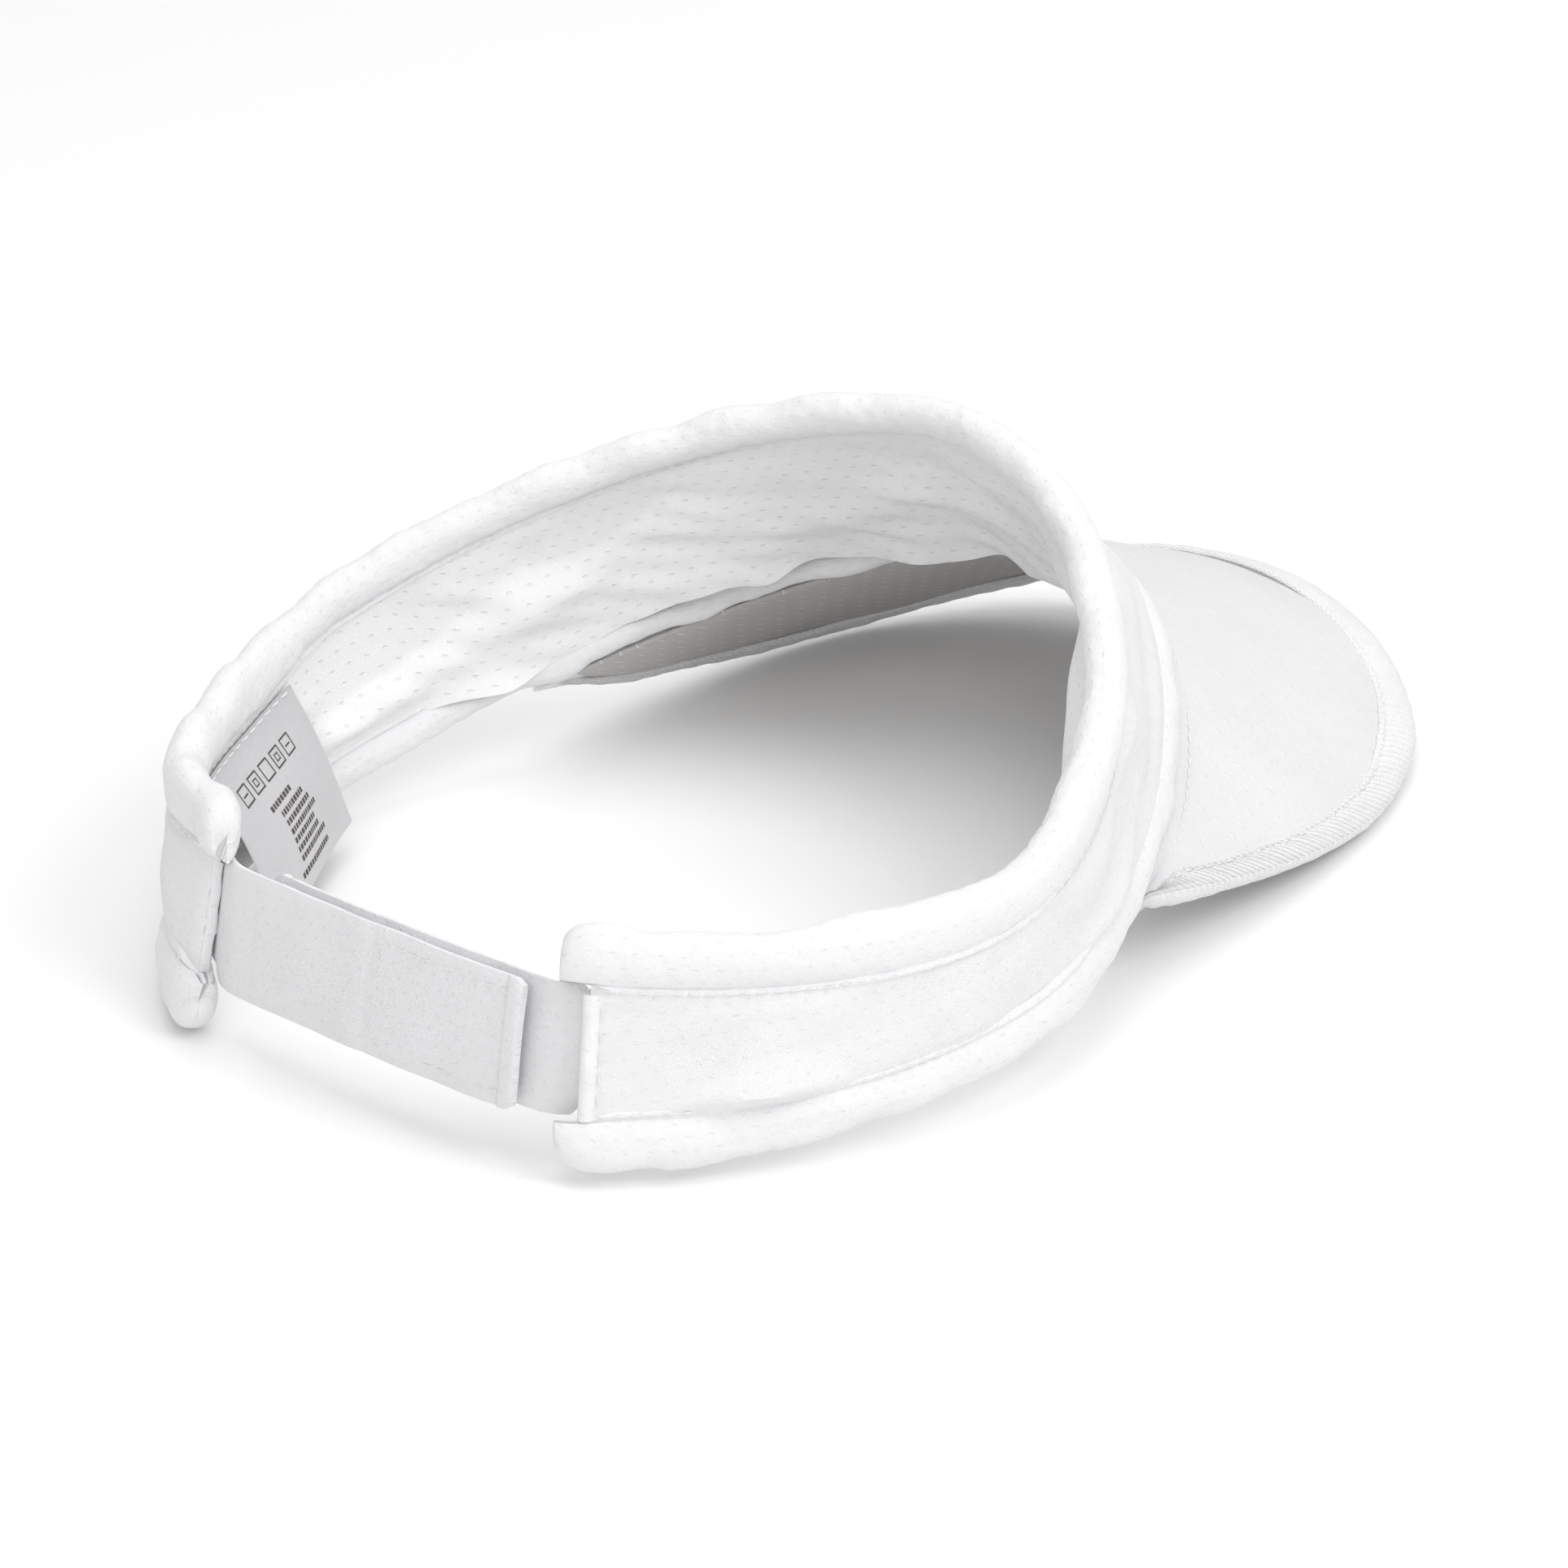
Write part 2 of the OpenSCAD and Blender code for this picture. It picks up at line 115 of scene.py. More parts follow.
def signed_power(v, p):
    return v * ((v * v + 0.02) / 1.02) ** ((p - 1) / 2)


def alike(*values):
    """The values as float arrays of one common shape."""
    return np.broadcast_arrays(*(np.asarray(a, float) for a in values))


def paired(u, v):
    return np.stack(alike(u, v), -1)


def lengths(points):
    steps = np.linalg.norm(np.diff(points, axis=0), axis=1)
    return np.concatenate([[0], np.cumsum(steps)])


def ripple(x, y, wave, seed, count=9):
    """Smooth noise of about unit size from waves of fixed, seeded directions."""
    draw = np.random.default_rng(seed)
    total = np.zeros(np.broadcast(x, y).shape)
    for _ in range(count):
        angle, phase = draw.uniform(0, 2 * math.pi, 2)
        length = wave * draw.uniform(0.65, 1.6)
        total += np.sin(2 * math.pi * (x * math.cos(angle) + y * math.sin(angle)) / length
                        + phase)
    return total / math.sqrt(count / 2)


# ---- the band ----
def loop_point(t, shape, height, bulge, drawn=1.6):
    r = np.radians(t)
    c, s = np.cos(r), np.sin(r)
    power = np.where(c > 0, shape["front_power"], shape["rear_power"])
    reach = np.where(c > 0, shape["front"], shape["rear"])
    swell = bulge * window(t, 106, 130, 134, 146) - drawn * window(t, -84, -58, -48, -20)
    return np.stack([shape["half"] * signed_power(s, power) + swell * s,
                     -reach * signed_power(c, power) - swell * c, height], -1)


def level(t, levels):
    front, side, rear = levels
    r = np.radians(t)
    dip = (front + rear) / 4 - side / 2
    return side + dip + (front - rear) / 2 * np.cos(r) + dip * np.cos(2 * r)


def top_line(t):
    t = np.asarray(t, float)
    return loop_point(t, TOP, level(t, TOP_LEVELS), 3.2)


def bottom_line(t):
    t = np.asarray(t, float)
    return loop_point(t, BOTTOM, level(t, BOTTOM_LEVELS)
                      + BOTTOM_RIPPLE * np.cos(3 * np.radians(t)), 1.2)


def plain_bottom(t):
    """The bottom line without its worn-in bulge, where the brim is sewn on."""
    t = np.asarray(t, float)
    return loop_point(t, BOTTOM, level(t, BOTTOM_LEVELS)
                      + BOTTOM_RIPPLE * np.cos(3 * np.radians(t)), 0, 0)


def middle(t):
    return (top_line(t) + bottom_line(t)) / 2


def up(t):
    return unit(top_line(t) - bottom_line(t))


def onward(t):
    t = np.asarray(t, float)
    return unit(middle(t + 0.5) - middle(t - 0.5))


def out(t):
    return unit(np.cross(onward(t), up(t)))


def off(line, t, n, h):
    """A point n outwards and h upwards of a line of the band at angle t."""
    n, h = np.asarray(n, float), np.asarray(h, float)
    return line(t) + out(t) * n[..., None] + up(t) * h[..., None]


# ---- the brim: s runs from one corner over the tip to the other ----
def fan(s):
    return np.sign(s) * (1 - (1 - np.abs(s)) ** 3)


def brim_edge(s):
    f = np.radians(90 * fan(s))
    x = BRIM_HALF * signed_power(np.sin(f), 1.02)
    y = BRIM_CORNER_Y - BRIM_REACH * np.cos(f) ** 0.55
    z = (bottom_line(BRIM_CORNER_ANGLE)[2] - BRIM_CORNER_DROP
         + BRIM_ARCH * (1 - (x / BRIM_HALF) ** 2) + BRIM_SLOPE * (y - BRIM_CORNER_Y))
    return np.stack([x, y, z], -1)


def seam_angle(s):
    return BRIM_CORNER_ANGLE * mix(fan(s), s, 0.25)


def brim_seam(s):
    t = seam_angle(s)
    return plain_bottom(t) - up(t) * BRIM_SEAM_DROP


def brim_depth(s):
    return np.linalg.norm(brim_edge(s) - brim_seam(s), axis=-1) - BRIM_RIM


def brim_ray(s):
    return unit(brim_edge(s) - brim_seam(s))


def brim_line(s, v):
    return brim_seam(s) + brim_ray(s) * (brim_depth(s) * v)[..., None]


def brim_normal(s, v):
    return unit(np.cross(brim_line(s + 0.01, v) - brim_line(s - 0.01, v), brim_ray(s)))


def brim_up(s, v):
    one = np.ones_like(s)
    return -mix(brim_normal(s, 0 * one), brim_normal(s, one), np.clip(v, 0, 1)[..., None])


def brim_point(s, v, n):
    s, v, n = alike(s, v, n)
    return brim_line(s, v) + brim_up(s, v) * n[..., None] + corner_lift(s)


def corner_lift(s):
    """The far corner of the brim's cloth is drawn up into the bottom roll."""
    return np.asarray(s)[..., None] * 0 + np.array([0, 0, 3.6]) * ease(s, 0.6, 0.86)[..., None]


def border_here(s):
    wide = BORDER * (1 - 0.2 * ease(s, 0, 0.5))
    return np.minimum(wide, np.maximum(0.75 * brim_depth(s) - 1, 0.3 * brim_depth(s)))


# ---- the straps: d from the left hinge, h upwards, n outwards ----
strap_up = unit(up(PANEL_END) * [0, 1, 1])
strap_out = unit(np.cross([-1, 0, 0], strap_up))
left_hinge = middle(HINGE_ANGLE) - out(HINGE_ANGLE) * STRAP_DEPTH
right_hinge = left_hinge * [-1, 1, 1]
strap_from = left_hinge - strap_out * STRAP_MID
strap_to = right_hinge + strap_out * (STRAP_MID - 0.2)
strap_span = float(np.linalg.norm(strap_to - strap_from))
strap_run = unit(strap_to - strap_from)
strap_normal = unit(np.cross(strap_run, strap_up))
OUTER_TIP = strap_span - OUTER_TIP_GAP
PATCH_START = strap_span / 2


def on_strap(d, h, n):
    d, h, n = alike(d, h, n)
    f = np.clip(d / strap_span, 0, 1)
    lift = n + STRAP_BOW * 4 * f * (1 - f)
    return (strap_from + strap_run * d[..., None] + strap_up * h[..., None]
            + strap_normal * lift[..., None])


# ---- from the band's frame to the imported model's ----
def joint(name):
    return next(j for j in frame["record"]["behaviour"]["joints"] if j["name"] == name)


def placing():
    """(rotation, shift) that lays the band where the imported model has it, in mm."""
    peel = joint("outer_strap_peel")
    axis = -np.array(peel["axis"])
    pitch = math.atan2(axis[2], axis[1]) - math.atan2(strap_up[2], strap_up[1])
    c, s = math.cos(pitch), math.sin(pitch)
    turn = np.array([[1, 0, 0], [0, c, -s], [0, s, c]])
    return turn, np.array(peel["pos_m"]) * 1000 - turn @ left_hinge


TURN, SHIFT = placing()


def placed(points):
    """Band frame in mm to the model's frame in metres."""
    return (np.asarray(points) @ TURN.T + SHIFT) / 1000


# ---- meshes ----
def quads(rows, cols, wrap=False, first=0):
    i = np.arange(rows - 1)[:, None]
    j = np.arange(cols if wrap else cols - 1)[None, :]
    k = (j + 1) % cols
    faces = np.stack([i * cols + j, i * cols + k, (i + 1) * cols + k, (i + 1) * cols + j], -1)
    return (faces + first).reshape(-1, 4)


def make(name, points, faces, uv, material, body="visor", crease=50):
    """A mesh object from points in the band's frame and a UV per point, in mm."""
    mesh = bpy.data.meshes.new(name)
    mesh.from_pydata(placed(points).tolist(), [], [list(map(int, f)) for f in faces])
    work = bmesh.new()
    work.from_mesh(mesh)
    bmesh.ops.recalc_face_normals(work, faces=work.faces)
    work.to_mesh(mesh)
    work.free()
    corner = np.zeros(len(mesh.loops), np.int32)
    mesh.loops.foreach_get("vertex_index", corner)
    layer = mesh.uv_layers.new(name="cloth")
    layer.data.foreach_set("uv", np.asarray(uv, np.float32)[corner].ravel())
    mesh.polygons.foreach_set("use_smooth", [True] * len(mesh.polygons))
    mesh.set_sharp_from_angle(angle=math.radians(crease))
    mesh.materials.append(material)
    obj = bpy.data.objects.new(name, mesh)
    bpy.context.scene.collection.objects.link(obj)
    if body:
        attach(obj, body)
    return obj


def shell(name, face, back, uv, material, **more):
    """A cloth with two faces, given as grids of points, closed round its edges."""
    rows, cols = face.shape[:2]
    count = rows * cols
    points = np.concatenate([face.reshape(-1, 3), back.reshape(-1, 3)])
    faces = [quads(rows, cols), quads(rows, cols, first=count)[:, ::-1]]
    ring = np.concatenate([np.arange(cols), np.arange(1, rows) * cols + cols - 1,
                           (rows - 1) * cols + np.arange(cols - 2, -1, -1),
                           np.arange(rows - 2, 0, -1) * cols])
    after = np.roll(ring, -1)
    faces.append(np.stack([ring, ring + count, after + count, after], -1))
    uv = np.concatenate([uv.reshape(-1, 2)] * 2)
    return make(name, points, np.concatenate(faces), uv, material, **more)


def tube(name, rings, uv, material, **more):
    """A closed tube through rings of points, with a face over each end."""
    rows, cols = rings.shape[:2]
    faces = quads(rows, cols, wrap=True).tolist()
    faces += [list(range(cols)), list(range((rows - 1) * cols, rows * cols))]
    return make(name, rings.reshape(-1, 3), faces, uv.reshape(-1, 2), material, **more)


STITCH_RINGS, STITCH_SIDES = 7, 6


def stitches(name, rows, material, length=2.3, gap=0.7, width=0.42, height=0.34, **more):
    """Separate stitches along rows; a row is (points, normals), each a dense path."""
    points, faces = [], []
    along = np.linspace(-1, 1, STITCH_RINGS)
    girth = np.sqrt(1 - (0.97 * along) ** 2) ** 0.8
    angle = np.arange(STITCH_SIDES) * 2 * math.pi / STITCH_SIDES
    for path, normals in rows:
        run = lengths(path)
        count = max(1, int(run[-1] // (length + gap)))
        centres = (np.arange(count) + 0.5) * run[-1] / count
        reach = length / 2
        at = [centres + reach * a for a in along]
        spots = np.stack([[np.interp(x, run, path[:, k]) for k in range(3)] for x in at])
        facing = unit(np.stack([[np.interp(x, run, normals[:, k]) for k in range(3)]
                                for x in at]).transpose(0, 2, 1))
        spots = spots.transpose(0, 2, 1)
        ahead = unit(spots[-1] - spots[0])
        side = unit(np.cross(ahead, facing[STITCH_RINGS // 2]))
        for a in range(STITCH_RINGS):
            lift = 0.55 * height * (1 - along[a] ** 2) - 0.08
            for b in range(STITCH_SIDES):
                spots_here = (spots[a] + facing[a] * lift
                              + side * girth[a] * width / 2 * math.cos(angle[b])
                              + facing[a] * girth[a] * height / 2 * math.sin(angle[b]))
                points.append(spots_here)
    # points are grouped by (row, ring, side), each an array over that row's stitches
    block = STITCH_RINGS * STITCH_SIDES
    body = quads(STITCH_RINGS, STITCH_SIDES, wrap=True).tolist()
    caps = [list(range(STITCH_SIDES)), list(range(block - STITCH_SIDES, block))]
    all_points = []
    for r in range(len(rows)):
        group = np.stack(points[r * block:(r + 1) * block], 1)
        for one in group:
            first = len(all_points) * block
            faces += [[i + first for i in f] for f in body + caps]
            all_points.append(one)
    verts = np.concatenate(all_points)
    uv = np.stack([np.arange(len(verts)) * 0.37, np.arange(len(verts)) * 0.11], -1)
    return make(name, verts, faces, uv, material, crease=80, **more)


# ---- materials ----
class Finish:
    """A fabric or plastic material whose nodes read the piece's own UV, in mm."""

    def __init__(self, name, colour, roughness, **sockets):
        self.material = bpy.data.materials.new(name)
        self.material.use_nodes = True
        self.tree = self.material.node_tree
        self.shader = self.tree.nodes["Principled BSDF"]
        self.shader.inputs["Roughness"].default_value = roughness
        for socket, value in sockets.items():
            self.shader.inputs[socket.replace("_", " ")].default_value = value
        self.uv = self.node("ShaderNodeUVMap")
        self.uv.uv_map = "cloth"
        self.colour = colour
        self.height = None
        self.tone = None

    def node(self, kind, **settings):
        made = self.tree.nodes.new(kind)
        for key, value in settings.items():
            setattr(made, key, value)
        return made

    def link(self, source, target):
        if isinstance(source, (int, float, tuple)):
            target.default_value = source
        else:
            self.tree.links.new(source, target)

    def math(self, operation, *inputs):
        made = self.node("ShaderNodeMath", operation=operation)
        for value, socket in zip(inputs, made.inputs):
            self.link(value, socket)
        return made.outputs[0]

    def dot(self, row):
        made = self.node("ShaderNodeVectorMath", operation="DOT_PRODUCT")
        self.link(self.warped, made.inputs[0])
        made.inputs[1].default_value = (*row, 0)
        return made.outputs["Value"]

    @property
    def warped(self):
        """The UV with a slight wander, so that no row is drawn with a ruler."""
        if not hasattr(self, "_warped"):
            noise = self.node("ShaderNodeTexNoise")
            noise.inputs["Scale"].default_value = 0.09
            noise.inputs["Detail"].default_value = 2
            self.link(self.uv.outputs[0], noise.inputs["Vector"])
            middle_ = self.node("ShaderNodeVectorMath", operation="SUBTRACT")
            self.link(noise.outputs["Color"], middle_.inputs[0])
            middle_.inputs[1].default_value = (0.5, 0.5, 0.5)
            wander = self.node("ShaderNodeVectorMath", operation="MULTIPLY_ADD")
            self.link(middle_.outputs[0], wander.inputs[0])
            wander.inputs[1].default_value = (1.6, 1.6, 0)
            self.link(self.uv.outputs[0], wander.inputs[2])
            self._warped = wander.outputs[0]
        return self._warped

    def noise(self, scale, detail=3, stretch=(1, 1)):
        spread = self.node("ShaderNodeVectorMath", operation="MULTIPLY")
        self.link(self.uv.outputs[0], spread.inputs[0])
        spread.inputs[1].default_value = (*stretch, 1)
        made = self.node("ShaderNodeTexNoise")
        made.inputs["Scale"].default_value = scale
        made.inputs["Detail"].default_value = detail
        self.link(spread.outputs[0], made.inputs["Vector"])
        return made.outputs["Fac"]

    def add_height(self, value, amount):
        scaled = self.math("MULTIPLY", value, amount)
        self.height = scaled if self.height is None else self.math("ADD", self.height, scaled)

    def add_tone(self, value, amount):
        """Darkens the colour by amount where value is 1."""
        kept = self.math("SUBTRACT", 1, self.math("MULTIPLY", value, amount))
        self.tone = kept if self.tone is None else self.math("MULTIPLY", self.tone, kept)

    def spots(self, one, two, size):
        """1 in a lozenge at every point of the lattice with steps one and two, in mm."""
        turn = np.linalg.inv(np.array([one, two]).T)
        reach = (np.hypot(*one), np.hypot(*two))
        parts = []
        for row, length, half in zip(turn, reach, size):
            cell = self.math("FRACT", self.dot(row))
            near = self.math("ABSOLUTE", self.math("SUBTRACT", cell, 0.5))
            parts.append(self.math("POWER", self.math("MULTIPLY", near, length / half), 2))
        spread = self.node("ShaderNodeMapRange", interpolation_type="SMOOTHSTEP")
        self.link(self.math("ADD", *parts), spread.inputs["Value"])
        spread.inputs["From Min"].default_value = 1.5
        spread.inputs["From Max"].default_value = 0.2
        return spread.outputs[0]

    def knit(self, course, wale, amount, tone=0.0):
        """Tiny loops: rows of course mm crossed by columns of wale mm."""
        rows = self.math("SINE", self.dot((0, 2 * math.pi / course)))
        columns = self.math("SINE", self.dot((2 * math.pi / wale, 0)))
        loops = self.math("MULTIPLY_ADD", self.math("MULTIPLY", rows, columns), 0.5, 0.5)
        self.add_height(loops, amount)
        if tone:
            self.add_tone(loops, tone)

    def fuzz(self, amount, scale=2.2):
        self.add_height(self.noise(scale, 4), amount)

    def mottle(self, amount, scale=0.05):
        self.add_tone(self.noise(scale, 2), amount)

    def finish(self, bump=1.0):
        """Joins the gathered tone and height to the shader."""
        colour = self.node("ShaderNodeMix", data_type="RGBA", blend_type="MULTIPLY")
        colour.inputs[0].default_value = 1
        colour.inputs[6].default_value = (*self.colour, 1)
        self.link(self.tone, colour.inputs[7])
        self.link(colour.outputs[2], self.shader.inputs["Base Color"])
        bumped = self.node("ShaderNodeBump")
        bumped.inputs["Strength"].default_value = bump
        bumped.inputs["Distance"].default_value = 0.001
        self.link(self.height, bumped.inputs["Height"])
        self.link(bumped.outputs[0], self.shader.inputs["Normal"])
        return self.material


WHITE = (0.9, 0.9, 0.912)
SOFT = dict(Sheen_Weight=0.25, Sheen_Roughness=0.5, Specular_IOR_Level=0.25)


def jersey(name, colour=(0.87, 0.87, 0.882), dot=0.07, loops=0.04, fuzz=0.14):
    made = Finish(name, colour, 0.9, **SOFT)
    pores = made.spots((3.6, 0), (1.8, 2.7), (0.5, 0.3))
    made.add_height(pores, -dot)
    # painted shade: the pores a little darker, as the shade inside the pinholes
    made.add_tone(pores, 0.02)
    made.add_height(made.noise(0.28, 2), 0.5)
    made.knit(0.42, 0.36, loops, 0.02)
    made.fuzz(fuzz)
    made.mottle(0.05)
    return made.finish()


def mesh_knit(name, one, two, size, colour=WHITE, rise=0.3, painted_shade=0.09, deep=False):
    """A mesh knit with a lattice of pinholes (deep) or raised light dashes; its tone amount
    paints shade into the pinholes, or onto the cloth between the dashes so that the dashes read
    lit.
    """
    made = Finish(name, colour, 0.85, **SOFT)
    marks = made.spots(one, two, size)
    made.add_height(marks, -rise if deep else rise)
    # painted shade: the pinholes darker when deep, otherwise the cloth between the raised dashes
    # darker
    if deep:
        made.add_tone(marks, painted_shade)
    else:
        made.add_tone(made.math("SUBTRACT", 1, marks), painted_shade)
    made.knit(0.4, 0.34, 0.07, 0.035)
    made.fuzz(0.1)
    made.mottle(0.05)
    return made.finish()


def zigzag(name, colour=WHITE):
    """The border's bias-cut weave: fine diagonals that change side at every row."""
    made = Finish(name, colour, 0.85, **SOFT)
    band_ = made.math("PINGPONG", made.dot((1, 0)), 0.9)
    lines = made.math("SINE", made.math("MULTIPLY_ADD", made.dot((0, 1)), 2 * math.pi / 0.55,
                                        made.math("MULTIPLY", band_, 5.5)))
    made.add_height(made.math("MULTIPLY_ADD", lines, 0.5, 0.5), 0.13)
    made.fuzz(0.1)
    made.mottle(0.05)
    return made.finish()


def smooth_cloth(name, colour, roughness, grain, stretch, **sockets):
    made = Finish(name, colour, roughness, **sockets)
    made.add_height(made.noise(2.5, 2, stretch), grain)
    made.mottle(0.05)
    return made.finish()


panel_jersey = mesh_knit("visor_panel_jersey", (3.4, 0.3), (1.7, 2.6), (0.45, 0.3), rise=0.09,
                         painted_shade=0.02)
lining_mesh = mesh_knit("visor_lining_mesh", (4.0, 0.2), (2.0, 2.7), (0.55, 0.24), rise=0.15,
                        painted_shade=0.05, deep=True, colour=(0.94, 0.94, 0.945))
binding_jersey = jersey("visor_binding_jersey")
foam = smooth_cloth("visor_foam", (0.82, 0.81, 0.76), 0.95, 0.3, (1, 1))
brim_mesh = mesh_knit("visor_brim_mesh", (4.6, 1.4), (-1.0, 2.9), (0.34, 0.8), rise=0.16,
                      painted_shade=0.1)
# the underside's darker warm grey is partly its own colour and partly painted shade under the
# brim; its tone amount of 0.3 adds more painted shade between its dashes
brim_under_mesh = mesh_knit("visor_brim_under_mesh", (7.1, 1.2), (2.8, 3.0), (1.6, 0.34),
                            colour=(0.76, 0.73, 0.705), rise=0.12, painted_shade=0.3)
border_mesh = zigzag("visor_border_mesh")
board_plastic = smooth_cloth("visor_board_plastic", (0.78, 0.78, 0.77), 0.45, 0.05, (1, 1))
strap_cloth = mesh_knit("visor_strap_cloth", (3.0, 0.2), (1.5, 2.4), (0.4, 0.32), rise=0.1,
                        painted_shade=0.025, colour=(0.87, 0.87, 0.885))
hook_tape = smooth_cloth("visor_hook_tape", (0.84, 0.84, 0.85), 0.55, 0.6, (1, 1))
loop_tape = smooth_cloth("visor_loop_tape", (0.85, 0.85, 0.86), 0.95, 0.9, (1, 1),
                         Sheen_Weight=0.4)
thread_finish = smooth_cloth("visor_thread", (0.88, 0.88, 0.89), 0.6, 0.1, (1, 1),
                             Sheen_Weight=0.2)
# the label's grey is partly its own colour and partly painted shade, for the shadow it hangs in
# inside the band
label_satin = smooth_cloth("visor_label_satin", (0.66, 0.65, 0.665), 0.5, 0.12, (8, 0.6),
                           Sheen_Weight=0.2)
ink = smooth_cloth("visor_ink", (0.09, 0.075, 0.075), 0.8, 0.1, (1, 1))


# ---- the padded bindings ----
# A roll's section: outwards and away from the panel, from lip to lip.
LIP = [(1.2, -6.9), (1.75, -6.75), (2.15, -6.4), (2.28, -5.95), (2.15, -5.5), (1.85, -5.15),
       (1.9, -4.95)]


def roll_profile():
    start = math.acos(4.6 / ROLL_RY)
    turns = np.linspace(start, 2 * math.pi - start, 27)
    body = np.stack([ROLL_RX * signed_power(np.sin(turns), 0.85),
                     -ROLL_RY * signed_power(np.cos(turns), 0.95)], -1)
    lip = np.array(LIP)
    return np.concatenate([lip, body, lip[::-1] * [-1, 1]])


def roll_section(t, sign, x, y):
    """The roll's section as it lies at angle t: how far its lips reach over the panel."""
    if sign > 0:
        edge, outer = ROLL_RY + 0.5 * ease(-t, 60, 110), 0.89 + 0 * t
        inner = mix(0.72, 1.0, ease(t, 82, 104))
        thick = 1 + 0.15 * ease(t, 130, 146)
    else:
        raised = ease(-t, 62, 100)
        full = ease(t, 108, 132)
        edge, outer = ROLL_RY - 2.0 * raised, mix(0.81, 1.0, full)
        inner = mix(0.63, 1.0, full)
        thick = 1 + 0.26 * ease(t, 126, 145)
    share = mix(inner, outer, ease(x, -1.2, 1.2))
    return x * thick, edge - (ROLL_RY - y) * share


def turned_in(t):
    """From 0 to 1 as the panel's outer face turns in under its left end."""
    share = np.clip((t - TURN_START) / (PANEL_END - TURN_START + 0.1), 0, 1)
    return 1 - np.sqrt(1 - share ** 2)


SIM_SCALE, SIM_FRAMES = 20, 20


def settle(obj, held, cap):
    """Lets the padding's pressure push the cloth out, no further than cap mm anywhere."""
    count = len(obj.data.vertices)
    start = np.zeros(count * 3)
    obj.data.vertices.foreach_get("co", start)
    obj.data.vertices.foreach_set("co", start * SIM_SCALE)
    group = obj.vertex_groups.new(name="held")
    group.add([int(i) for i in np.flatnonzero(held)], 1, "REPLACE")
    cloth = obj.modifiers.new("settle", "CLOTH")
    cloth.settings.vertex_group_mass = "held"
    cloth.settings.quality = 5
    cloth.settings.mass = 0.3
    cloth.settings.tension_stiffness = cloth.settings.compression_stiffness = 20
    cloth.settings.bending_stiffness = 0.6
    cloth.settings.use_pressure = True
    cloth.settings.uniform_pressure_force = 4
    cloth.settings.effector_weights.gravity = 0
    cloth.point_cache.frame_start, cloth.point_cache.frame_end = 1, SIM_FRAMES
    for frame_number in range(1, SIM_FRAMES + 1):
        bpy.context.scene.frame_set(frame_number)
    moved = obj.evaluated_get(bpy.context.evaluated_depsgraph_get()).data
    end = np.zeros(count * 3)
    moved.vertices.foreach_get("co", end)
    obj.modifiers.remove(cloth)
    obj.vertex_groups.remove(group)
    bpy.context.scene.frame_set(1)
    move = (end / SIM_SCALE - start).reshape(-1, 3) * 1000
    size = np.linalg.norm(move, axis=1, keepdims=True)
    move = move * np.where(np.isfinite(size), cap * np.tanh(size / cap) / (size + 1e-9), 0)
    obj.data.vertices.foreach_set("co", start + np.nan_to_num(move).ravel() / 1000)
    obj.data.update()


